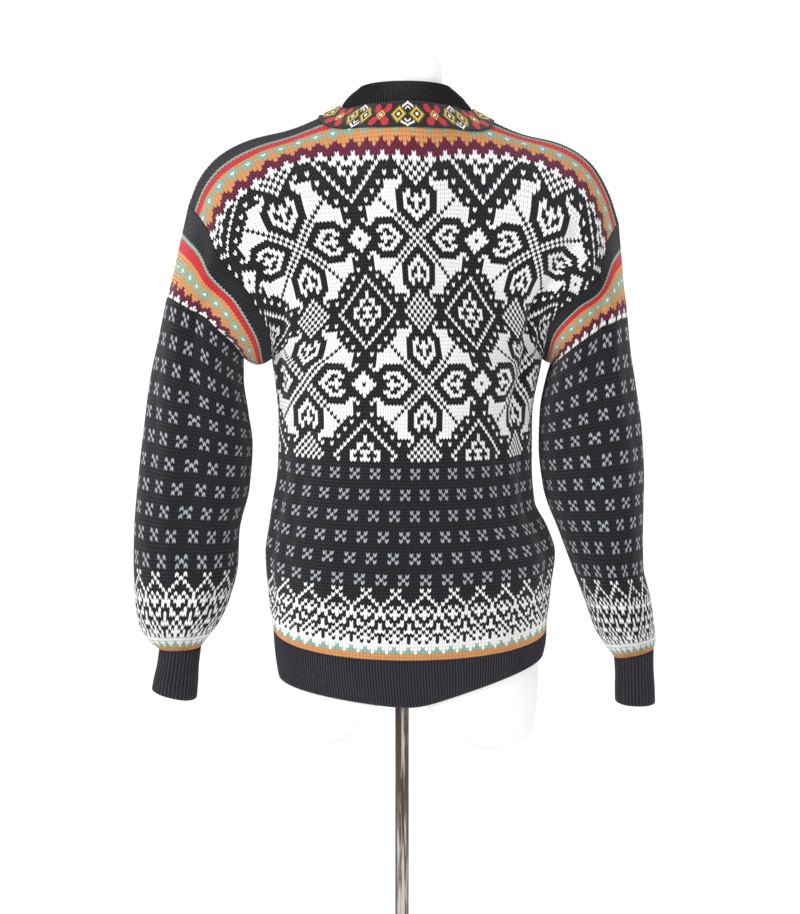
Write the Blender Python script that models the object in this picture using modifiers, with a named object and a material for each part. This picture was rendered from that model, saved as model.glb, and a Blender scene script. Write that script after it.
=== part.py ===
"""Hip-length knitted pullover on a limbless dress form with a pole and a round base.

Metres, +Z up. The front of the garment faces -Y, the wearer's left is +X. The origin is on the underside of
the base, on the pole's axis. Cloth surfaces are functions of knitted stitches and rows, so that every piece
meets its neighbours along the same seam line.
"""

import math

import bmesh
import bpy
import numpy as np
from mathutils import Vector
from mathutils.bvhtree import BVHTree

# Cloth
WALL = 0.0026
SEAM = 0.0003
SLEEVE_SEAM = 0.0005
UNDERARM_SEAM = 0.0012
CENTRE_X = -0.007
SIDE_ROUND = 0.86

# Knitted rows of the body, counted from the hem rib
ROW_PLAIN_END = 56
ROW_ARMPIT = 82
ROW_RIDGE = 158
ROW_PLAIN = 0.00409
ROW_STAR = 0.00439
BODY_FOOT = 0.438
ARMPIT_Z = BODY_FOOT + ROW_PLAIN_END * ROW_PLAIN + (ROW_ARMPIT - ROW_PLAIN_END) * ROW_STAR
HEM_DIP = 0.018
ROW_DIP_END = 60

# Sleeve rows, counted from the armhole seam
ROW_WHOLE = 24
ROW_CUFF = 110
SLEEVE_PUFF = 0.004

# Neckline, in shares of the half width and in rows below the shoulder ridge
NECK_SHARE = 0.29
NECK_ROWS_BACK = 9
NECK_ROWS_FRONT = 13

# Ribbing
HEM_RIBS = 264
CUFF_RIBS = 40
COLLAR_RIBS = 104
RIB_DEPTH = 0.0010
COLLAR_RISE = 0.002
COLLAR_GAP = 0.0006
CUFF_WAIST = 0.97
CUFF_WAIST_AT = 0.38

# Ribbon
RIBBON_LIFT = 0.0007
RIBBON_THICK = 0.0010
RIBBON_REACH_SIDE = 1.32
RIBBON_REACH_BACK = 1.66
RIBBON_REACH_FRONT = 1.46

# Mesh steps
NECK_COLUMNS = 10
SIDE_COLUMNS = 9
BODY_ROWS_LOW = 7
BODY_ROWS_HIGH = 12
LEVEL_ROWS_HIGH = 6
SLEEVE_RINGS_HIGH = 4
SLEEVE_RINGS_LOW = 13
RIBBON_STEPS = 64

# Stand
POLE_RADIUS = 0.0085
POLE_FIT = 0.0003
POLE_FOOT = 0.008
POLE_TOP = 0.430
SOCKET_TOP = 0.432
SOCKET_MOUTH = 0.25
BASE_RADIUS = 0.160
BASE_EDGE = 0.006
BASE_TOP = 0.012
BOSS_RADIUS = 0.020
BOSS_TOP = 0.032
FORM_RING = 32
FORM_GAP = 0.0007
FORM_EASE = 0.0035
ARCH_TOP = 0.398
ARCH_WIDTH = 0.058

# Body round below the armpit
GIRTH = {
    "z": (0.380, 0.410, 0.450, 0.500, 0.540, 0.572, 0.606, 0.655, 0.710, 0.780),
    "left": (0.150, 0.152, 0.159, 0.164, 0.166, 0.162, 0.157, 0.150, 0.149, 0.156),
    "right": (-0.172, -0.174, -0.1775, -0.182, -0.186, -0.177, -0.161, -0.157, -0.157, -0.168),
    "back": (0.117, 0.120, 0.127, 0.129, 0.127, 0.122, 0.117, 0.114, 0.114, 0.117),
    "front": (-0.108, -0.110, -0.114, -0.115, -0.113, -0.110, -0.107, -0.106, -0.110, -0.116),
}

# Middle of the back and of the front, from the armpit row to the ridge
MIDDLE = {
    "row": (ROW_ARMPIT, 108, 129, 143, 149, 158),
    "back y": (0.117, 0.119, 0.108, 0.085, 0.074, 0.040),
    "back z": (ARMPIT_Z, 0.898, 0.986, 1.056, 1.079, 1.108),
    "front y": (-0.116, -0.118, -0.104, -0.080, -0.068, -0.036),
    "front z": (ARMPIT_Z, 0.892, 0.975, 1.040, 1.062, 1.100),
}

# Armhole seams, from the armpit to the shoulder point
ARMHOLE = {
    "left": {
        "share": (0.00, 0.08, 0.20, 0.42, 0.62, 0.80, 1.00),
        "x": (GIRTH["left"][-1], 0.155, 0.154, 0.176, 0.211, 0.232, 0.255),
        "y": (0.000, 0.030, 0.058, 0.088, 0.082, 0.052, 0.000),
        "z": (ARMPIT_Z, 0.786, 0.806, 0.862, 0.905, 0.944, 0.966),
    },
    "right": {
        "share": (0.00, 0.08, 0.20, 0.42, 0.62, 0.80, 1.00),
        "x": (GIRTH["right"][-1], -0.1685, -0.171, -0.198, -0.228, -0.242, -0.259),
        "y": (0.000, 0.032, 0.060, 0.086, 0.078, 0.048, 0.000),
        "z": (ARMPIT_Z, 0.787, 0.818, 0.858, 0.881, 0.924, 0.945),
    },
}
ARMHOLE_FRONT = -0.96

# Shoulder ridge, from the middle to the shoulder point, in shares of its width and of its fall
RIDGE = {
    "share": (-0.15, 0.00, 0.15, 0.32, 0.50, 0.68, 0.82, 0.92, 1.00),
    "width": (-0.16, 0.00, 0.16, 0.33, 0.53, 0.72, 0.86, 0.95, 1.00),
    "left fall": (0.05, 0.00, 0.05, 0.215, 0.375, 0.465, 0.60, 0.79, 1.00),
    "right fall": (0.05, 0.00, 0.05, 0.212, 0.357, 0.432, 0.565, 0.78, 1.00),
}

# How far each sleeve sags at the underarm, next to its seam
UNDERARM_SAG = {"left": 0.008, "right": 0.002}

# Sleeve rings: outermost and innermost point, half depth, and how far back and front are lifted
SLEEVE = {
    "left": {
        "row": (ROW_WHOLE, 33, 43, 55, 68, 81, 89, 98, 103, 107, ROW_CUFF),
        "outer x": (0.282, 0.292, 0.303, 0.311, 0.319, 0.325, 0.3265, 0.3255, 0.321, 0.310, 0.297),
        "outer z": (0.848, 0.803, 0.755, 0.700, 0.638, 0.575, 0.531, 0.486, 0.457, 0.437, 0.427),
        "inner x": (0.191, 0.191, 0.186, 0.181, 0.185, 0.198, 0.200, 0.210, 0.223, 0.238, 0.246),
        "inner z": (0.782, 0.752, 0.715, 0.675, 0.624, 0.568, 0.529, 0.488, 0.459, 0.439, 0.429),
        "depth": (0.084, 0.081, 0.077, 0.073, 0.070, 0.067, 0.064, 0.058, 0.050, 0.038, 0.031),
        "lift": (0.020, 0.015, 0.010, 0.006, 0.002, 0, 0, 0, 0, 0, 0),
    },
    "right": {
        "row": (ROW_WHOLE, 33, 43, 55, 68, 81, 89, 98, 103, 107, ROW_CUFF),
        "outer x": (-0.269, -0.2735, -0.281, -0.289, -0.293, -0.2925, -0.2935, -0.304, -0.308, -0.3105,
                    -0.308),
        "outer z": (0.838, 0.795, 0.750, 0.697, 0.634, 0.575, 0.531, 0.486, 0.457, 0.438, 0.4275),
        "inner x": (-0.182, -0.173, -0.1665, -0.1655, -0.1715, -0.192, -0.207, -0.224, -0.236, -0.251,
                    -0.260),
        "inner z": (0.776, 0.750, 0.715, 0.675, 0.624, 0.568, 0.528, 0.483, 0.450, 0.4265, 0.4155),
        "depth": (0.084, 0.081, 0.077, 0.073, 0.069, 0.064, 0.060, 0.054, 0.047, 0.036, 0.029),
        "lift": (0.020, 0.015, 0.010, 0.006, 0.002, 0, 0, 0, 0, 0, 0),
    },
}

# Lower edge of each cuff
CUFF_END = {
    "left": {"outer": (0.307, 0.376), "inner": (0.252, 0.364), "depth": 0.033},
    "right": {"outer": (-0.311, 0.359), "inner": (-0.262, 0.360), "depth": 0.030},
}

# Hem rib: lower edge round the body
HEM_END = {"left": 0.151, "right": -0.1725, "back": 0.118, "front": -0.108,
           "middle z": 0.380, "left z": 0.395, "right z": 0.421}
HEM_RISE_POWER = 0.6
HEM_RISE_SOFT = 0.12

# Upper edge of the collar
COLLAR_END = {"left": 0.050, "right": -0.0575, "back": 0.051, "front": -0.047,
              "back z": 1.110, "front z": 1.095}

# Largest folds, as soft troughs pressed into the cloth or ridges raised from it (depth below 0)
# body: from (share across, row) to (share across, row), half width as a share, depth
BODY_FOLDS = {
    "back": (
        ((-0.66, 72), (-0.80, 128), 0.070, 0.0110),
        ((-0.86, 92), (-0.97, 112), 0.060, 0.0060),
        ((0.80, 78), (0.74, 112), 0.070, 0.0060),
        ((-0.80, 20), (-0.72, 58), 0.075, 0.0050),
        ((0.84, 14), (0.78, 50), 0.070, 0.0040),
        ((0.30, 4), (0.26, 34), 0.080, 0.0030),
        ((-0.30, 2), (-0.34, 30), 0.080, 0.0030),
    ),
    "front": (
        ((0.70, 70), (0.80, 124), 0.080, 0.0080),
        ((-0.70, 70), (-0.80, 124), 0.080, 0.0080),
        ((0.62, 8), (0.66, 52), 0.080, 0.0045),
        ((-0.58, 8), (-0.64, 52), 0.080, 0.0045),
    ),
}
# sleeves: from (turn, row) to (turn, row), half width as a share of a turn, depth
SLEEVE_FOLDS = {
    "left": (
        ((0.245, 8), (0.275, 84), 0.042, 0.0080),
        ((0.130, 4), (0.190, 26), 0.045, 0.0050),
        ((0.370, 30), (0.330, 52), 0.050, 0.0040),
        ((0.760, 26), (0.730, 80), 0.050, 0.0050),
    ),
    "right": (
        ((0.215, 12), (0.235, 46), 0.045, 0.0070),
        ((0.330, 40), (0.300, 80), 0.050, 0.0045),
        ((0.770, 24), (0.740, 78), 0.050, 0.0050),
    ),
}
FOLD_END_ROWS = 12

# Dress form sections
FORM = {
    "z": (0.330, 0.360, 0.400, 0.450, 0.500, 0.560, 0.620, 0.700, 0.780, 0.840, 0.890, 0.930,
          0.960, 0.985, 1.005, 1.020, 1.034, 1.050, 1.066, 1.084, 1.102, 1.120),
    "left": (0.141, 0.144, 0.146, 0.146, 0.146, 0.146, 0.143, 0.138, 0.141, 0.148, 0.170, 0.196,
             0.222, 0.228, 0.222, 0.206, 0.165, 0.105, 0.062, 0.036, 0.025, 0.0225),
    "right": (-0.162, -0.1655, -0.167, -0.167, -0.167, -0.163, -0.149, -0.1425, -0.149, -0.158, -0.178, -0.202,
              -0.224, -0.230, -0.224, -0.208, -0.172, -0.116, -0.073, -0.053, -0.0485, -0.0475),
    "back": (0.104, 0.110, 0.114, 0.117, 0.117, 0.112, 0.107, 0.103, 0.104, 0.105, 0.103, 0.099,
             0.092, 0.084, 0.074, 0.065, 0.059, 0.053, 0.047, 0.042, 0.038, 0.037),
    "front": (-0.096, -0.101, -0.103, -0.104, -0.104, -0.101, -0.098, -0.097, -0.103, -0.105, -0.102, -0.096,
              -0.088, -0.079, -0.070, -0.061, -0.055, -0.050, -0.045, -0.041, -0.038, -0.037),
    "gap": (FORM_EASE, FORM_EASE, FORM_EASE, FORM_EASE, FORM_EASE, FORM_EASE, FORM_EASE, FORM_EASE, FORM_EASE,
            FORM_EASE, FORM_EASE, FORM_EASE, FORM_GAP, FORM_GAP, FORM_GAP, FORM_GAP, FORM_EASE, FORM_EASE,
            FORM_EASE, FORM_EASE, FORM_EASE, FORM_EASE),
}
NECK_CAP = {"z": (1.133, 1.142, 1.1465), "share": (0.90, 0.66, 0.32)}
FORM_BOTTOM = {"z": 0.308, "share": (0.985, 0.93, 0.80, 0.58, 0.30), "arch share": (0.66, 0.372)}
NECK_X = -0.0128


def smooth(stations, values, at):
    """Join the values at the stations by a smooth curve that never overshoots."""
    s = np.asarray(stations, float)
    v = np.asarray(values, float)
    at = np.clip(np.asarray(at, float), s[0], s[-1])
    step = np.diff(s)
    slope = np.diff(v) / step
    tangent = np.zeros_like(v)
    tangent[0], tangent[-1] = slope[0], slope[-1]
    for i in range(1, len(v) - 1):
        before, after = slope[i - 1], slope[i]
        if before * after > 0:
            weight_a = 2 * step[i] + step[i - 1]
            weight_b = step[i] + 2 * step[i - 1]
            tangent[i] = (weight_a + weight_b) / (weight_a / before + weight_b / after)
    i = np.clip(np.searchsorted(s, at, side="right") - 1, 0, len(step) - 1)
    h = step[i]
    t = (at - s[i]) / h
    start = (2 * t**3 - 3 * t**2 + 1) * v[i] + (t**3 - 2 * t**2 + t) * h * tangent[i]
    end = (3 * t**2 - 2 * t**3) * v[i + 1] + (t**3 - t**2) * h * tangent[i + 1]
    return start + end


def unit(v):
    return v / np.maximum(np.linalg.norm(v, axis=-1, keepdims=True), 1e-12)


def trough(a, b, folds, width_scale):
    """Depth of the folds at surface coordinates a (across or round) and b (row)."""
    depth = np.zeros(np.broadcast(a, b).shape)
    for (a0, b0), (a1, b1), half, deep in folds:
        along = (b - b0) / (b1 - b0)
        middle = a0 + (a1 - a0) * np.clip(along, -0.3, 1.3)
        out = np.maximum(np.maximum(b0 - b, b - b1), 0) / FOLD_END_ROWS
        ends = np.exp(-(out**2) * 3)
        depth = depth + deep * np.exp(-(((a - middle) / (half * width_scale)) ** 2)) * ends
    return depth


def row_height(row):
    row = np.asarray(row, float)
    plain = np.minimum(row, ROW_PLAIN_END) * ROW_PLAIN
    return BODY_FOOT + plain + np.maximum(row - ROW_PLAIN_END, 0) * ROW_STAR


def tube(u, z, back):
    """Round the body at height z: u is -1 at the right side seam and 1 at the left one."""
    left = smooth(GIRTH["z"], GIRTH["left"], z)
    right = smooth(GIRTH["z"], GIRTH["right"], z)
    depth = smooth(GIRTH["z"], GIRTH["back" if back else "front"], z)
    half = np.where(u > 0, left - CENTRE_X, CENTRE_X - right)
    turn = u * math.pi / 2
    return CENTRE_X + half * np.sin(turn), depth * np.abs(np.cos(turn)) ** SIDE_ROUND


def armhole(side, share, back):
    seam = ARMHOLE[side]
    x, y, z = (smooth(seam["share"], seam[axis], share) for axis in ("x", "y", "z"))
    return x, y if back else ARMHOLE_FRONT * y, z


def armholes(u, share, back):
    """The armhole point on the side that u lies on."""
    both = zip(armhole("left", share, back), armhole("right", share, back))
    return [np.where(u > 0, left, right) for left, right in both]


def ridge(u, top_z):
    wide = smooth(RIDGE["share"], RIDGE["width"], np.abs(u))
    left, right = (smooth(RIDGE["share"], RIDGE[side], np.abs(u)) for side in ("left fall", "right fall"))
    fall = np.where(u > 0, left, right)
    tip_x, _, tip_z = armholes(u, 1.0, True)
    return CENTRE_X + wide * (tip_x - CENTRE_X), top_z - fall * (top_z - tip_z)


def panel(u, row, back):
    """A point of the back or front at share u across and at a knitted row, before folds."""
    u, row = np.broadcast_arrays(np.asarray(u, float), np.asarray(row, float))
    side = "back" if back else "front"
    low_z = row_height(np.minimum(row, ROW_ARMPIT))
    low_x, low_y = tube(u, low_z, back)
    dip = HEM_DIP * u**2 * np.clip(1 - row / ROW_DIP_END, 0, 1) ** 2

    share = np.clip((row - ROW_ARMPIT) / (ROW_RIDGE - ROW_ARMPIT), 0, 1)
    mid_y = smooth(MIDDLE["row"], MIDDLE[side + " y"], row)
    mid_z = smooth(MIDDLE["row"], MIDDLE[side + " z"], row)
    edge = armholes(u, share, back)
    turn = np.abs(u) * math.pi / 2
    mix = (np.sin(turn), 1 - np.abs(np.cos(turn)) ** SIDE_ROUND, np.abs(u) ** 2.2)

    # What the blend from middle to edge leaves over on the armpit row and on the shoulder ridge
    armpit_z = row_height(ROW_ARMPIT)
    foot_x, foot_y = tube(u, armpit_z, back)
    foot_edge = armholes(u, 0.0, back)
    foot_mid = (CENTRE_X, MIDDLE[side + " y"][0], MIDDLE[side + " z"][0])
    top_mid = (CENTRE_X, MIDDLE[side + " y"][-1], MIDDLE[side + " z"][-1])
    top_edge = armholes(u, 1.0, back)
    ridge_x, ridge_z = ridge(u, MIDDLE["back z"][-1])
    ridge_y = top_mid[1] * np.cos(np.clip(np.abs(u) / NECK_SHARE, 0, 1) * math.pi / 2) ** 2
    middle = (CENTRE_X, mid_y, mid_z)
    high = []
    for k, (foot, top) in enumerate(((foot_x, ridge_x), (foot_y, ridge_y), (armpit_z, ridge_z))):
        foot_rest = foot - (foot_mid[k] + mix[k] * (foot_edge[k] - foot_mid[k]))
        top_rest = top - (top_mid[k] + mix[k] * (top_edge[k] - top_mid[k]))
        blend = middle[k] + mix[k] * (edge[k] - middle[k])
        high.append(blend + (1 - share) * foot_rest + share**1.5 * top_rest)
    up = row > ROW_ARMPIT
    return np.stack([np.where(up, high[0], low_x), np.where(up, high[1], low_y),
                     np.where(up, high[2], low_z + dip)], -1)


def panel_normal(u, row, back):
    step_u, step_row = 0.002, 0.25
    across = panel(np.clip(u + step_u, -1, 1), row, back) - panel(np.clip(u - step_u, -1, 1), row, back)
    lower = np.maximum(np.asarray(row, float) - step_row, 0)
    along = panel(u, np.minimum(lower + 2 * step_row, ROW_RIDGE), back) - panel(u, lower, back)
    normal = np.cross(along, across)
    return unit(normal if back else -normal)


def body_surface(u, row, back):
    """Back or front with its folds, which fade out towards seams, hem and ridge."""
    folds = BODY_FOLDS["back" if back else "front"]
    fade = np.clip((1 - np.abs(u)) / 0.14, 0, 1) * np.clip(row / 8, 0, 1)
    fade = fade * np.clip((ROW_RIDGE - row) / 16, 0, 1)
    depth = trough(u, row, folds, 1.0) * fade
    return panel(u, row, back) - panel_normal(u, row, back) * depth[..., None]


def sleeve(side, a, row):
    """Round a sleeve: a is 0 at the shoulder point, 0.25 at the back and 0.5 at the underarm."""
    a, row = np.broadcast_arrays(np.asarray(a, float), np.asarray(row, float))
    table = SLEEVE[side]
    below = np.maximum(row, ROW_WHOLE)
    ring = {k: smooth(table["row"], table[k], below) for k in table if k != "row"}
    turn = 2 * math.pi * a
    c, s = np.cos(turn), np.sin(turn)
    x = (ring["outer x"] + ring["inner x"]) / 2
    x = x + (ring["outer x"] - ring["inner x"]) / 2 * np.sign(c) * np.abs(c) ** 0.9
    y = ring["depth"] * np.sign(s) * np.abs(s) ** 0.9
    z = (ring["outer z"] + ring["inner z"]) / 2 + (ring["outer z"] - ring["inner z"]) / 2 * c
    z = z + ring["lift"] * np.abs(s)

    # Above the first whole ring the sleeve spreads from the armhole seam
    whole = a % 1.0
    share = np.abs(1 - 2 * whole)
    back = armhole(side, share, True)
    front = armhole(side, share, False)
    seam_x, seam_y, seam_z = (np.where(whole <= 0.5, b, f) for b, f in zip(back, front))
    k = np.clip(row / ROW_WHOLE, 0, 1)
    puff = np.sin(math.pi * k)
    underarm = np.clip(-c, 0, 1) ** 2
    return np.stack([
        seam_x + (x - seam_x) * k,
        seam_y + (y - seam_y) * k + SLEEVE_PUFF * puff * s,
        seam_z + (z - seam_z) * k - UNDERARM_SAG[side] * puff * underarm,
    ], -1)


def sleeve_normal(side, a, row):
    step_a, step_row = 0.002, 0.25
    around = sleeve(side, a + step_a, row) - sleeve(side, a - step_a, row)
    lower = np.maximum(np.asarray(row, float) - step_row, 0)
    along = sleeve(side, a, np.minimum(lower + 2 * step_row, ROW_CUFF)) - sleeve(side, a, lower)
    normal = np.cross(along, around)
    return unit(normal if side == "left" else -normal)


def sleeve_surface(side, a, row):
    fade = np.clip(row / 6, 0, 1) * np.clip((ROW_CUFF - row) / 12, 0, 1)
    depth = trough(a % 1.0, row, SLEEVE_FOLDS[side], 1.0) * fade
    return sleeve(side, a, row) - sleeve_normal(side, a, row) * depth[..., None]


def neck_row(u, back):
    """Row of the neckline at share u; outside the neck it is the ridge."""
    deep = NECK_ROWS_BACK if back else NECK_ROWS_FRONT
    return ROW_RIDGE - deep * np.sqrt(np.clip(1 - (u / NECK_SHARE) ** 2, 0, 1))


def body_grid(back):
    """Surface points of the back or front, rows by columns, with the neckline cut out."""
    neck = NECK_SHARE * np.sin(np.linspace(-math.pi / 2, math.pi / 2, NECK_COLUMNS + 1))
    outer = np.linspace(NECK_SHARE, 1, SIDE_COLUMNS + 1)[1:]
    u = np.concatenate([-outer[::-1], neck, outer])
    low = np.linspace(0, ROW_ARMPIT, BODY_ROWS_LOW + 1)
    high = np.linspace(ROW_ARMPIT, ROW_RIDGE, BODY_ROWS_HIGH + 1)[1:]
    rows = np.concatenate([low, high])
    level = high[LEVEL_ROWS_HIGH - 1]
    squeeze = (neck_row(u, back) - level) / (ROW_RIDGE - level)
    grid_rows = np.where(rows[:, None] > level, level + (rows[:, None] - level) * squeeze, rows[:, None])
    return body_surface(u[None, :] + 0 * grid_rows, grid_rows, back), rows, u


def grid_normals(points, closed):
    """Normals from the grid's own differences; columns wrap when closed."""
    along = np.gradient(points, axis=0)
    if closed:
        across = np.roll(points, -1, 1) - np.roll(points, 1, 1)
    else:
        across = np.gradient(points, axis=1)
    return unit(np.cross(along, across))


def share_normals(pieces):
    """Give points that lie on one seam one common direction, so that the walls meet face to face."""
    total = {}
    for piece in pieces:
        for p, n in zip(piece["p"].reshape(-1, 3), piece["n"].reshape(-1, 3)):
            key = tuple(np.round(p, 6) + 0.0)
            total[key] = total.get(key, 0) + n
    for piece in pieces:
        shape = piece["n"].shape
        keys = [tuple(np.round(p, 6) + 0.0) for p in piece["p"].reshape(-1, 3)]
        piece["n"] = unit(np.array([total[k] for k in keys])).reshape(shape)


def level_direction(ring, rise=0.0):
    """Outward direction of a closed ring of points, level or raised by the given slope."""
    tangent = np.roll(ring, -1, 0) - np.roll(ring, 1, 0)
    out = np.stack([tangent[:, 1], -tangent[:, 0], np.zeros(len(ring))], -1)
    middle = ring.mean(0)
    if ((ring - middle) * out).sum() < 0:
        out = -out
    out = unit(out)
    return unit(out + np.array([0, 0, rise]))


def draw_back(points, edge, amount):
    """Pull one edge of a grid back along the cloth, by one amount or by one for each column."""
    amount = np.reshape(amount, (-1, 1))
    if edge == "first row":
        points[0] += unit(points[1] - points[0]) * amount
    elif edge == "last row":
        points[-1] += unit(points[-2] - points[-1]) * amount
    elif edge == "first column":
        points[:, 0] += unit(points[:, 1] - points[:, 0]) * amount
    else:
        points[:, -1] += unit(points[:, -2] - points[:, -1]) * amount


def resample(ring, directions, count):
    """Spread points evenly along a closed chain of straight stretches."""
    closed = np.vstack([ring, ring[:1]])
    ways = np.vstack([directions, directions[:1]])
    length = np.concatenate([[0], np.cumsum(np.linalg.norm(np.diff(closed, axis=0), axis=1))])
    at = np.linspace(0, length[-1], count, endpoint=False)
    points = np.stack([np.interp(at, length, closed[:, k]) for k in range(3)], -1)
    return points, np.stack([np.interp(at, length, ways[:, k]) for k in range(3)], -1)


def material(name, colour, roughness, metallic=0.0, sheen=0.0):
    made = bpy.data.materials.new(name)
    made.use_nodes = True
    shader = made.node_tree.nodes["Principled BSDF"]
    shader.inputs["Base Color"].default_value = (*colour, 1)
    shader.inputs["Roughness"].default_value = roughness
    shader.inputs["Metallic"].default_value = metallic
    shader.inputs["Sheen Weight"].default_value = sheen
    made.diffuse_color = (*colour, 1)
    return made


def add_object(name, mesh, collection, finish):
    obj = bpy.data.objects.new(name, mesh)
    collection.objects.link(obj)
    mesh.materials.append(finish)
    mesh.shade_smooth()
    mesh.set_sharp_from_angle(angle=math.radians(40))
    return obj


def mesh_from(name, points, faces):
    mesh = bpy.data.meshes.new(name)
    mesh.from_pydata([tuple(p) for p in points], [], faces)
    shape = bmesh.new()
    shape.from_mesh(mesh)
    bmesh.ops.recalc_face_normals(shape, faces=shape.faces)
    bmesh.ops.triangulate(shape, faces=shape.faces)
    if shape.calc_volume(signed=True) < 0:
        bmesh.ops.reverse_faces(shape, faces=shape.faces)
    shape.to_mesh(mesh)
    shape.free()
    return mesh


def strip(first, second, closed):
    """Quads between two rows of point numbers."""
    count = len(first) if closed else len(first) - 1
    return [
        (first[i], first[(i + 1) % len(first)], second[(i + 1) % len(second)], second[i])
        for i in range(count)
    ]


def wall(name, outer, direction, thick, closed, collection, finish):
    """A cloth wall: the outer grid, the same grid moved in by the thickness, and its rims."""
    rows, columns = outer.shape[:2]
    inner = outer - direction * thick
    count = rows * columns
    number = np.arange(count).reshape(rows, columns)
    faces = []
    for j in range(rows - 1):
        faces += strip(list(number[j]), list(number[j + 1]), closed)
        faces += strip(list(number[j + 1] + count), list(number[j] + count), closed)
    for j in (0, rows - 1):
        faces += strip(list(number[j]), list(number[j] + count), closed)
    if not closed:
        for i in (0, columns - 1):
            faces += strip(list(number[:, i]), list(number[:, i] + count), False)
    points = np.concatenate([outer.reshape(-1, 3), inner.reshape(-1, 3)])
    return add_object(name, mesh_from(name, points, faces), collection, finish)


def rib_rim(outer_row, inner_row):
    """Close the end of a ribbed tube, whose outside has several points for each one inside."""
    per = len(outer_row) // len(inner_row)
    faces = []
    for i, here in enumerate(inner_row):
        there = inner_row[(i + 1) % len(inner_row)]
        for k in range(per):
            a = outer_row[i * per + k]
            b = outer_row[(i * per + k + 1) % len(outer_row)]
            faces.append((a, b, here if k < per // 2 else there))
        faces.append((here, outer_row[i * per + per // 2], there))
    return faces


def ribbed_tube(name, rings, ribs, collection, finish, coarse):
    """A tube whose outside carries upright ribs over a plain inside; rings are (points, directions)."""
    columns = 2 * ribs
    inside = columns // coarse
    ridge_or_valley = np.where(np.arange(columns) % 2 == 0, 0.0, RIB_DEPTH)[:, None]
    outer, inner = [], []
    for points, ways in rings:
        p, d = resample(points, ways, columns)
        outer.append(p - d * ridge_or_valley)
        q, e = resample(points, ways, inside)
        inner.append(q - e * WALL)
    outer_number = np.arange(len(rings) * columns).reshape(len(rings), columns)
    inner_number = outer_number.size + np.arange(len(rings) * inside).reshape(len(rings), inside)
    faces = []
    for j in range(len(rings) - 1):
        faces += strip(list(outer_number[j]), list(outer_number[j + 1]), True)
        faces += strip(list(inner_number[j + 1]), list(inner_number[j]), True)
    for j in (0, len(rings) - 1):
        faces += rib_rim(list(outer_number[j]), list(inner_number[j]))
    points = np.concatenate(outer + inner)
    return add_object(name, mesh_from(name, points, faces), collection, finish)


def oval(steps, left, right, back, front, z, power=0.9):
    """A closed ring from the left side round by the back."""
    turn = np.linspace(0, 2 * math.pi, steps, endpoint=False)
    c, s = np.cos(turn), np.sin(turn)
    middle, half = (left + right) / 2, (left - right) / 2
    x = middle + half * np.sign(c) * np.abs(c) ** power
    y = np.where(s > 0, back, -front) * np.sign(s) * np.abs(s) ** power
    return np.stack([x, y, np.broadcast_to(z, x.shape)], -1)


def cloth_grids():
    """Surface points and directions of back, front and sleeves, in agreement along their seams."""
    back_p, rows, u = body_grid(True)
    front_p, _, _ = body_grid(False)
    back = {"p": back_p, "n": grid_normals(back_p, False)}
    front = {"p": front_p, "n": -grid_normals(front_p, False)}
    share = (rows[rows >= ROW_ARMPIT] - ROW_ARMPIT) / (ROW_RIDGE - ROW_ARMPIT)
    turn_back = (1 - share[::-1]) / 2
    turns = np.concatenate([turn_back, 1 - turn_back[-2:0:-1]])
    near = np.linspace(0, ROW_WHOLE, SLEEVE_RINGS_HIGH + 1)[:-1]
    far = np.linspace(ROW_WHOLE, ROW_CUFF, SLEEVE_RINGS_LOW + 1)
    ring_rows = np.concatenate([near, far])
    sleeves = {}
    for side in ("left", "right"):
        p = sleeve_surface(side, turns[None, :], ring_rows[:, None])
        n = grid_normals(p, True)
        sleeves[side] = {"p": p, "n": n if side == "left" else -n}
    share_normals([back, front, *sleeves.values()])
    return back, front, sleeves, u, turns


def hem_start(back, front):
    """The ring where body and hem rib meet, from the left side round by the back, with level directions."""
    ring = np.concatenate([back["p"][0, ::-1], front["p"][0, 1:-1]])
    way = level_direction(ring)
    columns = back["p"].shape[1]
    back["n"][0] = way[:columns][::-1]
    front["n"][0] = np.concatenate([way[columns - 1:], way[:1]])
    return ring, way


def neck_start(back, front, u):
    """The ring where body and collar meet, from the left side round by the back, with rising directions."""
    neck = np.where(np.abs(u) <= NECK_SHARE + 1e-9)[0]
    ring = np.concatenate([back["p"][-1, neck[::-1]], front["p"][-1, neck[1:-1]]])
    way = level_direction(ring, 1.0)
    count = len(neck)
    back["n"][-1, neck[::-1]] = way[:count]
    front["n"][-1, neck] = np.concatenate([way[count - 1:], way[:1]])
    return ring, way


def make_hem(start, way, collection, finish):
    turn = np.arctan2(start[:, 1] / GIRTH["back"][1], (start[:, 0] - CENTRE_X) / GIRTH["left"][3])
    c, s = np.cos(turn), np.sin(turn)
    half_x = np.where(c > 0, HEM_END["left"] - CENTRE_X, CENTRE_X - HEM_END["right"])
    half_y = np.where(s > 0, HEM_END["back"], -HEM_END["front"])
    side_z = np.where(c > 0, HEM_END["left z"], HEM_END["right z"])
    soft = HEM_RISE_SOFT**HEM_RISE_POWER
    rise = ((c**2 + HEM_RISE_SOFT**2) ** (HEM_RISE_POWER / 2) - soft) / (1 - soft)
    end = np.stack([
        CENTRE_X + half_x * np.sign(c) * np.abs(c) ** SIDE_ROUND,
        half_y * np.sign(s) * np.abs(s) ** SIDE_ROUND,
        HEM_END["middle z"] + (side_z - HEM_END["middle z"]) * rise,
    ], -1)
    top = start - np.array([0, 0, SEAM / 2])
    rings = [(top, way), (end, level_direction(end))]
    return ribbed_tube("hem_rib", rings, HEM_RIBS, collection, finish, 8)


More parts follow.
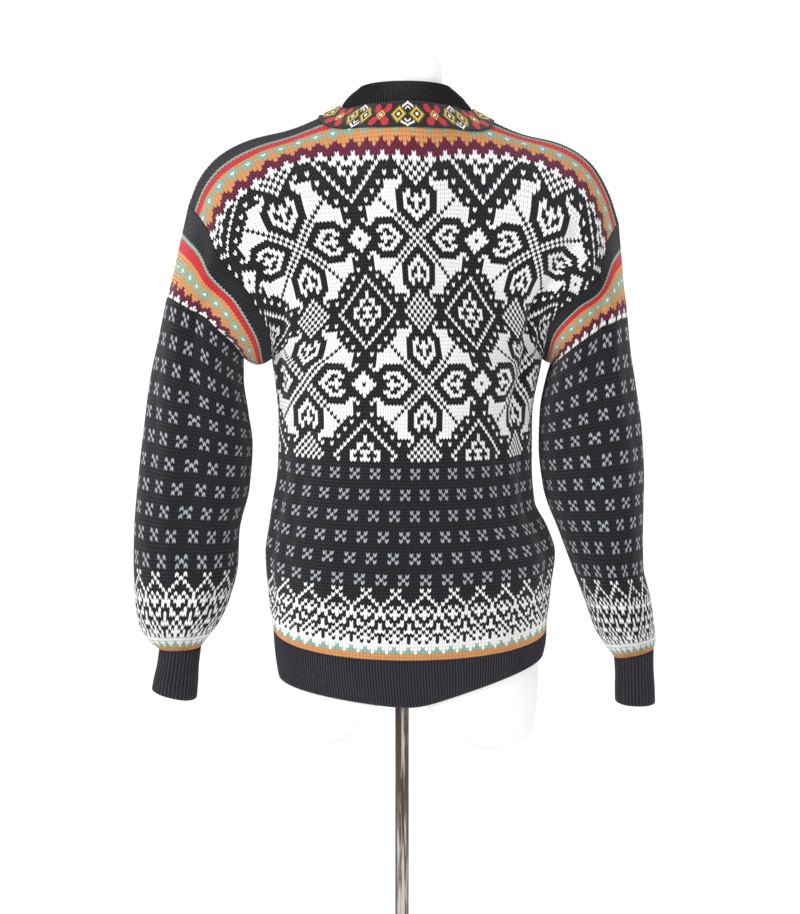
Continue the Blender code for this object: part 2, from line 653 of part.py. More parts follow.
def make_collar(start, way, collection, finish):
    turn = np.arctan2(start[:, 1] / MIDDLE["back y"][4], (start[:, 0] - CENTRE_X) / -start[:, 0].min())
    c, s = np.cos(turn), np.sin(turn)
    left, right, back, front = (COLLAR_END[name] for name in ("left", "right", "back", "front"))
    low, high = COLLAR_END["front z"], COLLAR_END["back z"]
    top = np.stack([
        (left + right) / 2 + (left - right) / 2 * c,
        np.where(s > 0, back, -front) * s,
        (high + low) / 2 + (high - low) / 2 * s,
    ], -1)
    foot = start + unit(top - start) * COLLAR_GAP
    bend = (foot + top) / 2 + way * COLLAR_RISE
    rings = [(foot, way), (bend, level_direction(bend, 0.8)), (top, level_direction(top, 0.3))]
    return ribbed_tube("collar_rib", rings, COLLAR_RIBS, collection, finish, 4)


def make_cuff(side, start, way, collection, finish):
    end = CUFF_END[side]
    left, right = (end["outer"], end["inner"]) if side == "left" else (end["inner"], end["outer"])
    lower = oval(len(start), left[0], right[0], end["depth"], -end["depth"], 0.0)
    lower[:, 2] = right[1] + (lower[:, 0] - right[0]) * (left[1] - right[1]) / (left[0] - right[0])
    if side == "right":
        lower = np.roll(lower[::-1], len(start) // 2 + 1, 0)
    top = start - np.array([0, 0, SEAM / 2])
    waist = top + (lower - top) * CUFF_WAIST_AT
    middle = waist.mean(0)
    waist = middle + (waist - middle) * np.array([CUFF_WAIST, CUFF_WAIST, 1])
    rings = [(top, way), (waist, level_direction(waist)), (lower, level_direction(lower))]
    ribbed_tube("cuff_" + side, rings, CUFF_RIBS, collection, finish, 4)


def make_cloth(collection, knit, dark):
    """All knitted pieces. Returns the walls that the dress form has to stay clear of."""
    back, front, sleeves, u, turns = cloth_grids()
    hem_ring, hem_way = hem_start(back, front)
    neck_ring, neck_way = neck_start(back, front, u)
    for piece in (back, front):
        for edge in ("first row", "last row", "first column", "last column"):
            draw_back(piece["p"], edge, SEAM / 2)
    walls = [
        wall("body_back", back["p"], back["n"], WALL, False, collection, knit),
        wall("body_front", front["p"], front["n"], WALL, False, collection, knit),
    ]
    underarm = np.clip(-np.cos(2 * math.pi * turns), 0, 1) ** 2
    seam_gap = SLEEVE_SEAM + (UNDERARM_SEAM - SLEEVE_SEAM) * underarm
    for side, piece in sleeves.items():
        cuff_ring = piece["p"][-1].copy()
        cuff_way = level_direction(cuff_ring)
        piece["n"][-1] = cuff_way
        draw_back(piece["p"], "first row", seam_gap)
        draw_back(piece["p"], "last row", SEAM / 2)
        walls.append(wall("sleeve_" + side, piece["p"], piece["n"], WALL, True, collection, knit))
        make_cuff(side, cuff_ring, cuff_way, collection, dark)
    walls.append(make_hem(hem_ring, hem_way, collection, dark))
    walls.append(make_collar(neck_ring, neck_way, collection, dark))
    return walls


def make_ribbon(collection, finish):
    """A woven band that lies round the neckline on back and front."""
    turn = np.linspace(0, 2 * math.pi, RIBBON_STEPS, endpoint=False)
    c, s = np.cos(turn), np.sin(turn)
    rows = []
    for across in (0.04, 0.52, 1.0):
        u = NECK_SHARE * (1 + (RIBBON_REACH_SIDE - 1) * across) * s
        ring = []
        for back, deep, reach in ((True, NECK_ROWS_BACK, RIBBON_REACH_BACK),
                                  (False, NECK_ROWS_FRONT, RIBBON_REACH_FRONT)):
            row = ROW_RIDGE - deep * (1 + (reach - 1) * across) * np.abs(c)
            ring.append((panel(u, row, back), panel_normal(u, row, back)))
        on_back = (c > 1e-6)[:, None]
        on_ridge = (np.abs(c) <= 1e-6)[:, None]
        point = np.where(on_back, ring[0][0], ring[1][0])
        normal = np.where(on_ridge, ring[0][1] + ring[1][1], np.where(on_back, ring[0][1], ring[1][1]))
        rows.append((point, unit(normal)))
    lift = RIBBON_LIFT + RIBBON_THICK
    outer = np.stack([p + n * lift for p, n in rows])
    direction = np.stack([n for _, n in rows])
    wall("neck_ribbon", outer, direction, RIBBON_THICK, True, collection, finish)


def make_form(collection, cutters, finish, walls):
    """The limbless form: level sections, held just inside the cloth, with a neck cap and an arched end."""
    points, faces = [], []
    for obj in walls:
        start = len(points)
        points += [v.co.copy() for v in obj.data.vertices]
        faces += [[start + i for i in f.vertices] for f in obj.data.polygons]
    cloth = BVHTree.FromPolygons(points, faces)

    rings = []
    for k, z in enumerate(FORM["z"]):
        left, right, back, front, gap = (FORM[name][k] for name in ("left", "right", "back", "front", "gap"))
        ring = oval(FORM_RING, left, right, back, front, z)
        axis = Vector(((left + right) / 2, 0, z))
        for i, p in enumerate(ring):
            way = Vector(p) - axis
            reach = way.length
            hit, normal, _, distance = cloth.ray_cast(axis, way.normalized())
            if hit:
                clear = gap / max(abs(normal.dot(way.normalized())), 0.25)
                ring[i] = axis + way.normalized() * min(reach, distance - clear)
        rings.append(ring)

    top = rings[-1]
    middle = np.array([NECK_X, 0, 0])
    for z, share in zip(NECK_CAP["z"], NECK_CAP["share"]):
        cap = middle + (top * np.array([1, 1, 0]) - middle) * share
        rings.append(cap + np.array([0, 0, z]))

    for ring, share in zip(rings, FORM_BOTTOM["arch share"]):
        arch = np.exp(-((ring[:, 0] / ARCH_WIDTH) ** 2))
        ring[:, 2] += (ARCH_TOP - FORM_BOTTOM["z"]) * share * arch
    foot = rings[0]
    centre = np.array([foot[:, 0].mean(), 0, 0])
    below = []
    for share in FORM_BOTTOM["share"]:
        ring = centre + (foot * np.array([1, 1, 0]) - centre) * share
        arch = np.exp(-((ring[:, 0] / ARCH_WIDTH) ** 2))
        round_edge = np.sqrt(np.clip(1 - share**6, 0, 1))
        low = FORM_BOTTOM["z"] + (ARCH_TOP - FORM_BOTTOM["z"]) * arch
        ring[:, 2] = foot[:, 2] + (low - foot[:, 2]) * round_edge
        below.append(ring)
    rings = below[::-1] + rings

    flat = np.concatenate(rings)
    poles = np.array([[0.0, 0.0, ARCH_TOP], [NECK_X, 0.0, NECK_CAP["z"][-1] + 0.0012]])
    number = np.arange(len(flat)).reshape(len(rings), FORM_RING)
    faces = []
    for j in range(len(rings) - 1):
        faces += strip(list(number[j]), list(number[j + 1]), True)
    low_pole, high_pole = len(flat), len(flat) + 1
    for i in range(FORM_RING):
        faces.append((low_pole, number[0][i], number[0][(i + 1) % FORM_RING]))
        faces.append((high_pole, number[-1][(i + 1) % FORM_RING], number[-1][i]))
    mesh = mesh_from("dress_form", np.concatenate([flat, poles]), faces)
    form = add_object("dress_form", mesh, collection, finish)

    bpy.ops.mesh.primitive_cylinder_add(
        vertices=32, radius=POLE_RADIUS + POLE_FIT, depth=SOCKET_TOP - SOCKET_MOUTH,
        location=(0, 0, (SOCKET_TOP + SOCKET_MOUTH) / 2))
    socket = bpy.context.object
    socket.name = "socket_cutter"
    socket.hide_render = True
    socket.display_type = "WIRE"
    for owner in list(socket.users_collection):
        owner.objects.unlink(socket)
    cutters.objects.link(socket)
    cut = form.modifiers.new("Pole socket", "BOOLEAN")
    cut.operation = "DIFFERENCE"
    cut.object = socket


def turned(name, profile, steps, collection, finish):
    """A turned solid: the profile runs from the axis at the top, down its outer side, to the axis."""
    mesh = bpy.data.meshes.new(name)
    mesh.from_pydata([(r, 0, z) for r, z in profile], [(i, i + 1) for i in range(len(profile) - 1)], [])
    obj = bpy.data.objects.new(name, mesh)
    collection.objects.link(obj)
    screw = obj.modifiers.new("Turn", "SCREW")
    screw.steps = steps
    screw.render_steps = steps
    screw.use_merge_vertices = True
    screw.merge_threshold = 0.00001
    mesh.materials.append(finish)
    return obj


def make_stand(collection, chrome, base_finish):
    edge = 0.0008
    turned("stand_pole", [
        (0, POLE_TOP), (POLE_RADIUS - edge, POLE_TOP), (POLE_RADIUS, POLE_TOP - edge),
        (POLE_RADIUS, POLE_FOOT + edge), (POLE_RADIUS - edge, POLE_FOOT), (0, POLE_FOOT)],
        32, collection, chrome)
    bore = POLE_RADIUS + POLE_FIT
    floor = POLE_FOOT - POLE_FIT
    turned("stand_base", [
        (0, floor), (bore, floor), (bore, BOSS_TOP), (BOSS_RADIUS - 0.002, BOSS_TOP),
        (BOSS_RADIUS, BOSS_TOP - 0.002), (BOSS_RADIUS, BASE_TOP + 0.003), (BOSS_RADIUS + 0.003, BASE_TOP),
        (BASE_RADIUS - 0.012, BASE_EDGE + 0.002), (BASE_RADIUS - 0.003, BASE_EDGE),
        (BASE_RADIUS, BASE_EDGE - 0.003), (BASE_RADIUS, 0.001), (BASE_RADIUS - 0.001, 0), (0, 0)],
        48, collection, base_finish)


def main():
    for obj in list(bpy.data.objects):
        bpy.data.objects.remove(obj, do_unlink=True)
    parts = bpy.data.collections.new("Pullover on dress form stand")
    cutters = bpy.data.collections.new("Cutters")
    for collection in (parts, cutters):
        bpy.context.scene.collection.children.link(collection)
    knit = material("Patterned wool knit", (0.20, 0.20, 0.21), 0.92, sheen=0.3)
    dark = material("Charcoal wool rib", (0.020, 0.021, 0.028), 0.92, sheen=0.3)
    woven = material("Woven ribbon", (0.16, 0.05, 0.04), 0.75)
    white = material("White form shell", (0.86, 0.86, 0.85), 0.42)
    chrome = material("Chrome", (0.72, 0.70, 0.68), 0.14, metallic=1.0)
    steel = material("Brushed steel base", (0.60, 0.59, 0.58), 0.30, metallic=1.0)
    walls = make_cloth(parts, knit, dark)
    make_ribbon(parts, woven)
    make_form(parts, cutters, white, walls)
    make_stand(parts, chrome, steel)


main()
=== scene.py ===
import math

import bpy
import numpy as np
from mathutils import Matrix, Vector
from mathutils.bvhtree import BVHTree


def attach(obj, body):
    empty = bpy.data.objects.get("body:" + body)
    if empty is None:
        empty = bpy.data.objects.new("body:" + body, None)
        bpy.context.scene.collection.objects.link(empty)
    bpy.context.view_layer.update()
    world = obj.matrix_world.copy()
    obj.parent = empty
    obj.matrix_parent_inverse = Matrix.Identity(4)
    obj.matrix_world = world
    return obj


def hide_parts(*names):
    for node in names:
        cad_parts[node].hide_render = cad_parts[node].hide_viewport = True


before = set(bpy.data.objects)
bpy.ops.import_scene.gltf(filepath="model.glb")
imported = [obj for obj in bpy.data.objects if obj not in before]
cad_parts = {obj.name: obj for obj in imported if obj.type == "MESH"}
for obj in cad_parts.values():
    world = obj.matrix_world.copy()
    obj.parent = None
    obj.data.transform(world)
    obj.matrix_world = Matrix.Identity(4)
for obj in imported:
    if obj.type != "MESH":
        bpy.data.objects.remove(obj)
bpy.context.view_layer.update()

print("CAD frame loaded")


# Shader building: one class for sums with sockets, one for nodes and their links
class Signal:
    def __init__(self, shader, socket):
        self.shader = shader
        self.socket = socket

    def math(self, operation, first, second=None):
        values = {0: first} if second is None else {0: first, 1: second}
        return self.shader.node("ShaderNodeMath", {"operation": operation}, values)

    def __add__(self, other):
        return self.math("ADD", self, other)

    def __radd__(self, other):
        return self.math("ADD", other, self)

    def __sub__(self, other):
        return self.math("SUBTRACT", self, other)

    def __rsub__(self, other):
        return self.math("SUBTRACT", other, self)

    def __mul__(self, other):
        return self.math("MULTIPLY", self, other)

    def __rmul__(self, other):
        return self.math("MULTIPLY", other, self)

    def fraction(self):
        return self.math("FRACT", self)

    def sine(self):
        return self.math("SINE", self)

    def away(self):
        return self.math("ABSOLUTE", self)

    def between(self, low, high):  # 0 below low, 1 above high, smooth in the middle
        return self.shader.node("ShaderNodeMapRange", {"interpolation_type": "SMOOTHSTEP"},
                                {"Value": self, "From Min": low, "From Max": high})

    def around(self, amount):  # a shade of 1 on average, from a signal between 0 and 1
        return 1 - amount / 2 + self * amount


class Shader:
    def __init__(self, name):
        self.material = bpy.data.materials.new(name)
        self.material.use_nodes = True
        self.tree = self.material.node_tree
        self.surface = self.tree.nodes["Principled BSDF"]

    def node(self, kind, settings=None, values=None, output=0):
        made = self.tree.nodes.new(kind)
        for key, value in (settings or {}).items():
            setattr(made, key, value)
        for key, value in (values or {}).items():
            self.feed(made.inputs[key], value)
        return Signal(self, made.outputs[output])

    def feed(self, socket, value):
        if isinstance(value, Signal):
            self.tree.links.new(value.socket, socket)
        else:
            socket.default_value = value

    def set(self, **values):
        for key, value in values.items():
            self.feed(self.surface.inputs[key.replace("_", " ")], value)

    def mixColour(self, share, first, second, blend="MIX"):
        return self.node("ShaderNodeMix", {"data_type": "RGBA", "blend_type": blend, "clamp_factor": True},
                         {0: share, 6: first, 7: second}, 2)

    def place(self):
        return self.node("ShaderNodeTexCoord", output=3)

    def noise(self, where, scale, detail=3.0, rough=0.6):
        return self.node("ShaderNodeTexNoise", {"noise_dimensions": "3D"},
                         {"Vector": where, "Scale": scale, "Detail": detail, "Roughness": rough})

    def bump(self, height):  # height in metres
        return self.node("ShaderNodeBump", None, {"Height": height, "Distance": 1.0, "Strength": 1.0})

    def yarnColour(self):
        return self.node("ShaderNodeVertexColor", {"layer_name": "yarn"})

    def valley(self):  # 1 in the furrows between stitches or ribs, 0 on their crests
        return self.node("ShaderNodeAttribute", {"attribute_name": "valley"}, output=2)

    def stitchPlace(self, axis):  # counted in stitches along axis 0 and in rows along axis 1
        place = self.node("ShaderNodeUVMap", {"uv_map": "stitch"})
        return self.node("ShaderNodeSeparateXYZ", None, {"Vector": place}, axis)

    def dimmed(self, colour, shade):
        grey = self.node("ShaderNodeCombineColor", None, {0: shade, 1: shade, 2: shade})
        return self.mixColour(1.0, colour, grey, "MULTIPLY")


def linear(colour):  # screen values 0 to 255 as light values
    share = np.array(colour, float) / 255
    light = np.where(share <= 0.04045, share / 12.92, ((share + 0.055) / 1.055) ** 2.4)
    return (*[float(v) for v in light], 1.0)


# Surface maths, the same as the CAD part's
def smoothCurve(stations, values, at):
    s = np.asarray(stations, float)
    v = np.asarray(values, float)
    at = np.clip(np.asarray(at, float), s[0], s[-1])
    step = np.diff(s)
    slope = np.diff(v) / step
    tangent = np.zeros_like(v)
    tangent[0], tangent[-1] = slope[0], slope[-1]
    for i in range(1, len(v) - 1):
        before, after = slope[i - 1], slope[i]
        if before * after > 0:
            weightA = 2 * step[i] + step[i - 1]
            weightB = step[i] + 2 * step[i - 1]
            tangent[i] = (weightA + weightB) / (weightA / before + weightB / after)
    i = np.clip(np.searchsorted(s, at, side="right") - 1, 0, len(step) - 1)
    h = step[i]
    t = (at - s[i]) / h
    start = (2 * t**3 - 3 * t**2 + 1) * v[i] + (t**3 - 2 * t**2 + t) * h * tangent[i]
    end = (3 * t**2 - 2 * t**3) * v[i + 1] + (t**3 - t**2) * h * tangent[i + 1]
    return start + end


def unit(v):
    return v / np.maximum(np.linalg.norm(v, axis=-1, keepdims=True), 1e-12)


def fuller(value, power=0.9):  # sine or cosine of an oval that is squarer than an ellipse
    return np.sign(value) * np.abs(value) ** power


def fullTurn(count):
    return np.linspace(0, 2 * math.pi, count, endpoint=False)


def lengthAlong(line):
    return np.concatenate([[0], np.cumsum(np.linalg.norm(np.diff(line, axis=0), axis=1))])


def closedRing(ring):
    return np.vstack([ring, ring[:1]])


def foldDepth(a, b, folds, endRows=12):
    depth = np.zeros(np.broadcast(a, b).shape)
    for (a0, b0), (a1, b1), half, deep in folds:
        along = (b - b0) / (b1 - b0)
        middle = a0 + (a1 - a0) * np.clip(along, -0.3, 1.3)
        out = np.maximum(np.maximum(b0 - b, b - b1), 0) / endRows
        depth = depth + deep * np.exp(-(((a - middle) / half) ** 2)) * np.exp(-(out**2) * 3)
    return depth


def gridNormals(points, closed):
    along = np.gradient(points, axis=0)
    across = np.roll(points, -1, 1) - np.roll(points, 1, 1) if closed else np.gradient(points, axis=1)
    return unit(np.cross(along, across))


# Measures of the garment, in metres, stitches and knitted rows
garment = {
    "middleX": -0.007,
    "sideRound": 0.86,
    "wall": 0.0026,
    "plainRows": 56,
    "armpitRow": 82,
    "ridgeRow": 158,
    "plainRow": 0.00409,
    "starRow": 0.00439,
    "footZ": 0.438,
    "hemDip": 0.018,
    "hemDipRows": 60,
    "neckShare": 0.29,
    "neckRowsBack": 9,
    "neckRowsFront": 13,
    "columns": 114,
    "stitchDepth": 0.0011,
    "uneven": 0.07,
    "skewRows": (0, 30, 77, 115, 143, 158),
    "skew": (-0.079, -0.096, -0.104, -0.059, -0.023, 0.0),
    "chartRows": 154,
    "bandFrom": 96,
    "bandRow": 138,
    "darkRow": 149,
    "frontRow": 141.0,
    "frontShare": 0.69,
}
# surface row that the top of the plum zigzag lies on, and the share of the colours above it, over the back
bandLine = {
    "u": (-1.0, -0.86, -0.77, -0.67, -0.52, -0.38, -0.24, -0.06, 0.16, 0.32, 0.46, 0.58, 0.69, 0.81, 0.92,
          1.0),
    "row": (143.0, 145.9, 147.1, 148.4, 150.4, 147.6, 143.1, 139.6, 140.8, 144.1, 146.9, 145.9, 142.9, 141.5,
            140.5, 140.0),
    "share": (0.80, 0.85, 0.92, 0.92, 0.90, 0.85, 0.76, 0.70, 0.69, 0.68, 0.68, 0.68, 0.68, 0.68, 0.68, 0.68),
}
girth = {
    "z": (0.380, 0.410, 0.450, 0.500, 0.540, 0.572, 0.606, 0.655, 0.710, 0.780),
    "left": (0.150, 0.152, 0.159, 0.164, 0.166, 0.162, 0.157, 0.150, 0.149, 0.156),
    "right": (-0.172, -0.174, -0.1775, -0.182, -0.186, -0.177, -0.161, -0.157, -0.157, -0.168),
    "back": (0.117, 0.120, 0.127, 0.129, 0.127, 0.122, 0.117, 0.114, 0.114, 0.117),
    "front": (-0.108, -0.110, -0.114, -0.115, -0.113, -0.110, -0.107, -0.106, -0.110, -0.116),
}
armpitZ = (garment["footZ"] + garment["plainRows"] * garment["plainRow"]
           + (garment["armpitRow"] - garment["plainRows"]) * garment["starRow"])
middleLine = {
    "row": (82, 108, 129, 143, 149, 158),
    "backY": (0.117, 0.119, 0.108, 0.085, 0.074, 0.040),
    "backZ": (armpitZ, 0.898, 0.986, 1.056, 1.079, 1.108),
    "frontY": (-0.116, -0.118, -0.104, -0.080, -0.068, -0.036),
    "frontZ": (armpitZ, 0.892, 0.975, 1.040, 1.062, 1.100),
}
armholeSeam = {
    "share": (0.00, 0.08, 0.20, 0.42, 0.62, 0.80, 1.00),
    "left": {
        "x": (0.156, 0.155, 0.154, 0.176, 0.211, 0.232, 0.255),
        "y": (0.000, 0.030, 0.058, 0.088, 0.082, 0.052, 0.000),
        "z": (armpitZ, 0.786, 0.806, 0.862, 0.905, 0.944, 0.966),
    },
    "right": {
        "x": (-0.168, -0.1685, -0.171, -0.198, -0.228, -0.242, -0.259),
        "y": (0.000, 0.032, 0.060, 0.086, 0.078, 0.048, 0.000),
        "z": (armpitZ, 0.787, 0.818, 0.858, 0.881, 0.924, 0.945),
    },
}
shoulderLine = {
    "share": (-0.15, 0.00, 0.15, 0.32, 0.50, 0.68, 0.82, 0.92, 1.00),
    "width": (-0.16, 0.00, 0.16, 0.33, 0.53, 0.72, 0.86, 0.95, 1.00),
    "leftFall": (0.05, 0.00, 0.05, 0.215, 0.375, 0.465, 0.60, 0.79, 1.00),
    "rightFall": (0.05, 0.00, 0.05, 0.212, 0.357, 0.432, 0.565, 0.78, 1.00),
}
# from (share across, row) to (share across, row), half width, depth
bodyFolds = {
    "back": (
        ((-0.66, 72), (-0.80, 128), 0.070, 0.0110),
        ((-0.86, 92), (-0.97, 112), 0.060, 0.0060),
        ((0.80, 78), (0.74, 112), 0.070, 0.0060),
        ((-0.80, 20), (-0.72, 58), 0.075, 0.0050),
        ((0.84, 14), (0.78, 50), 0.070, 0.0040),
        ((0.30, 4), (0.26, 34), 0.080, 0.0030),
        ((-0.30, 2), (-0.34, 30), 0.080, 0.0030),
    ),
    "front": (
        ((0.70, 70), (0.80, 124), 0.080, 0.0080),
        ((-0.70, 70), (-0.80, 124), 0.080, 0.0080),
        ((0.62, 8), (0.66, 52), 0.080, 0.0045),
        ((-0.58, 8), (-0.64, 52), 0.080, 0.0045),
    ),
}
bodyCreases = {  # smaller ones, not in the CAD part
    "back": (
        ((-0.72, 80), (-0.80, 120), 0.032, 0.0034),
        ((-0.52, 60), (-0.60, 84), 0.040, 0.0022),
        ((0.55, 66), (0.62, 96), 0.045, 0.0016),
        ((0.12, 38), (0.08, 58), 0.050, 0.0012),
        ((-0.15, 60), (-0.12, 76), 0.050, 0.0010),
        ((0.64, 30), (0.56, 58), 0.045, 0.0018),
        ((-0.56, 34), (-0.50, 60), 0.045, 0.0018),
        ((-0.44, 132), (-0.60, 146), 0.050, -0.0014),
        ((0.50, 130), (0.62, 146), 0.050, -0.0014),
    ),
    "front": (
        ((0.34, 40), (0.40, 66), 0.050, 0.0016),
        ((-0.22, 20), (-0.26, 44), 0.050, 0.0014),
        ((0.08, 70), (0.04, 96), 0.060, 0.0012),
    ),
}


def rowHeight(row):
    plain = np.minimum(row, garment["plainRows"]) * garment["plainRow"]
    return garment["footZ"] + plain + np.maximum(row - garment["plainRows"], 0) * garment["starRow"]


def bodyRound(u, z, back):
    middle = garment["middleX"]
    left = smoothCurve(girth["z"], girth["left"], z)
    right = smoothCurve(girth["z"], girth["right"], z)
    depth = smoothCurve(girth["z"], girth["back" if back else "front"], z)
    half = np.where(u > 0, left - middle, middle - right)
    turn = u * math.pi / 2
    return middle + half * np.sin(turn), depth * np.abs(np.cos(turn)) ** garment["sideRound"]


def armhole(side, share, back):
    x, y, z = (smoothCurve(armholeSeam["share"], armholeSeam[side][axis], share) for axis in ("x", "y", "z"))
    return x, y if back else -0.96 * y, z


def armholes(u, share, back):
    both = zip(armhole("left", share, back), armhole("right", share, back))
    return [np.where(u > 0, left, right) for left, right in both]


def shoulderRidge(u, topZ):
    wide = smoothCurve(shoulderLine["share"], shoulderLine["width"], np.abs(u))
    left, right = (smoothCurve(shoulderLine["share"], shoulderLine[side], np.abs(u))
                   for side in ("leftFall", "rightFall"))
    fall = np.where(u > 0, left, right)
    tipX, _, tipZ = armholes(u, 1.0, True)
    return garment["middleX"] + wide * (tipX - garment["middleX"]), topZ - fall * (topZ - tipZ)


def panel(u, row, back):  # a point of the back or front at share u across and at a knitted row
    u, row = np.broadcast_arrays(np.asarray(u, float), np.asarray(row, float))
    side = "back" if back else "front"
    middleX, armpitRow, ridgeRow = garment["middleX"], garment["armpitRow"], garment["ridgeRow"]
    lowZ = rowHeight(np.minimum(row, armpitRow))
    lowX, lowY = bodyRound(u, lowZ, back)
    dip = garment["hemDip"] * u**2 * np.clip(1 - row / garment["hemDipRows"], 0, 1) ** 2

    share = np.clip((row - armpitRow) / (ridgeRow - armpitRow), 0, 1)
    lineY, lineZ = middleLine[side + "Y"], middleLine[side + "Z"]
    middle = (middleX, smoothCurve(middleLine["row"], lineY, row), smoothCurve(middleLine["row"], lineZ, row))
    edge = armholes(u, share, back)
    turn = np.abs(u) * math.pi / 2
    mix = (np.sin(turn), 1 - np.abs(np.cos(turn)) ** garment["sideRound"], np.abs(u) ** 2.2)
    footX, footY = bodyRound(u, armpitZ, back)
    footEdge = armholes(u, 0.0, back)
    footMiddle = (middleX, lineY[0], lineZ[0])
    topMiddle = (middleX, lineY[-1], lineZ[-1])
    topEdge = armholes(u, 1.0, back)
    ridgeX, ridgeZ = shoulderRidge(u, middleLine["backZ"][-1])
    ridgeY = topMiddle[1] * np.cos(np.clip(np.abs(u) / garment["neckShare"], 0, 1) * math.pi / 2) ** 2
    high = []
    for k, (foot, top) in enumerate(((footX, ridgeX), (footY, ridgeY), (armpitZ, ridgeZ))):
        footRest = foot - (footMiddle[k] + mix[k] * (footEdge[k] - footMiddle[k]))
        topRest = top - (topMiddle[k] + mix[k] * (topEdge[k] - topMiddle[k]))
        blend = middle[k] + mix[k] * (edge[k] - middle[k])
        high.append(blend + (1 - share) * footRest + share**1.5 * topRest)
    up = row > armpitRow
    return np.stack([np.where(up, high[0], lowX), np.where(up, high[1], lowY),
                     np.where(up, high[2], lowZ + dip)], -1)


def panelNormal(u, row, back):
    across = panel(np.clip(u + 0.002, -1, 1), row, back) - panel(np.clip(u - 0.002, -1, 1), row, back)
    lower = np.maximum(row - 0.25, 0)
    along = panel(u, np.minimum(lower + 0.5, garment["ridgeRow"]), back) - panel(u, lower, back)
    normal = np.cross(along, across)
    return unit(normal if back else -normal)


def bodySurface(u, row, back):
    side = "back" if back else "front"
    fade = np.clip((1 - np.abs(u)) / 0.14, 0, 1) * np.clip(row / 8, 0, 1)
    fade = fade * np.clip((garment["ridgeRow"] - row) / 16, 0, 1)
    depth = foldDepth(u, row, bodyFolds[side] + bodyCreases[side]) * fade
    return panel(u, row, back) - panelNormal(u, row, back) * depth[..., None]


def spacingTable(back):  # share u of each stitch column, so that all stitches of a row are equally wide
    rows = np.arange(0, garment["ridgeRow"] + 1, 2)
    half = np.linspace(0, 1, 101)
    steps = np.linspace(0, 1, 81)
    table = []
    for row in rows:
        sides = []
        for sign in (-1, 1):
            line = panel(sign * half, float(row), back)
            length = lengthAlong(line)
            sides.append(sign * np.interp(steps, length / length[-1], half))
        table.append(np.concatenate([sides[0][:0:-1], sides[1]]))
    return np.array(table)


def spaced(table, c, row):
    j = np.clip(row / 2, 0, table.shape[0] - 1.001)
    i = np.clip((c + 1) / 2 * (table.shape[1] - 1), 0, table.shape[1] - 1.001)
    low, left = j.astype(int), i.astype(int)
    t, s = j - low, i - left
    lower = table[low, left] * (1 - s) + table[low, left + 1] * s
    upper = table[low + 1, left] * (1 - s) + table[low + 1, left + 1] * s
    return lower * (1 - t) + upper * t


def surfaceRow(u, row, back):  # the yoke's bands lie where the photo has them
    start, band, dark, top = (garment[k] for k in ("bandFrom", "bandRow", "darkRow", "chartRows"))
    line = smoothCurve(bandLine["u"], bandLine["row"], u) if back else garment["frontRow"]
    share = smoothCurve(bandLine["u"], bandLine["share"], u) if back else garment["frontShare"]
    mint = line + (garment["ridgeRow"] - line) * share
    ease = np.clip((row - start) / (band - start), 0, 1)
    low = row + (line - band) * ease**1.5
    middle = line + (row - band) / (dark - band) * (mint - line)
    high = mint + (row - dark) / (top - dark) * (garment["ridgeRow"] - mint)
    return np.where(row <= band, low, np.where(row <= dark, middle, high))


def neckRow(u, back):
    deep = garment["neckRowsBack" if back else "neckRowsFront"]
    return garment["ridgeRow"] - deep * np.sqrt(np.clip(1 - (u / garment["neckShare"]) ** 2, 0, 1))


# Yarn colours on screen
yarn = {
    "charcoal": (21, 21, 28),
    "white": (252, 252, 250),
    "ash": (170, 174, 183),
    "orange": (220, 152, 92),
    "plum": (104, 22, 58),
    "red": (208, 40, 52),
    "mint": (142, 184, 164),
}
charcoal, white, ash, orange, plum, red, mint = range(len(yarn))

# Charts: each word gives the stitches of one row, from the middle of the repeat outwards
borderHalf = {
    20: ".o.....o.", 19: "o.......o", 18: ".o.....o.", 17: "..o...o..", 16: "...o.o...",
    15: ".o..o..o.", 14: "o.o.o.o.o", 13: "oo.ooo.oo", 12: "o..o.o..o", 11: "..o...o..",
    10: ".oo.o.oo.", 9: "o...o...o", 8: ".o.ooo.o.", 7: "o.o...o.o", 6: "oo.o.o.oo", 5: "o.oo.oo.o",
}
petals = (
    ".", "o.", ".o.", "..o.", "...o.", "o...o.", "oo...o.", ".oo...o.", "o.oo..oo.", "o..o..ooo.",
    "oo.o..oooo.", "o.oo..ooooo.", "o.o...oooo", "o....oooo", "o...ooooo", ".oooo", "..oooo", "...oo", "....o",
)
reach = np.array([len(word) for word in petals] + [0] * 12)  # past the last word a star has no stitches
stars = {"rows": (77, 115), "across": 36}  # rows that the stars are centred on, stitches from star to star


def plainRow(colour, across):
    return np.full(across.shape, colour)


def borderRow(row, across):  # rows 0 to 20, from the edge of the rib upwards
    if row < 2:
        return plainRow(orange, across)
    four = across % 4
    if row == 2:
        return np.where(four != 2, mint, white)
    if row == 3:
        return np.where(four == 0, mint, white)
    if row < 5:
        return plainRow(white, across)
    half = np.abs((across + 8) % 16 - 8)
    word = np.array([letter == "o" for letter in borderHalf[row]])
    return np.where(word[half], white, charcoal)


def liceRow(row, first, across):
    block, step = divmod(row - first, 6)
    shift = np.abs((across + 3 * (block % 2) + 3) % 6 - 3)
    up = abs(step - 3)
    on = shift == up if up < 2 else np.zeros(across.shape, bool)
    return np.where(on, ash, charcoal)


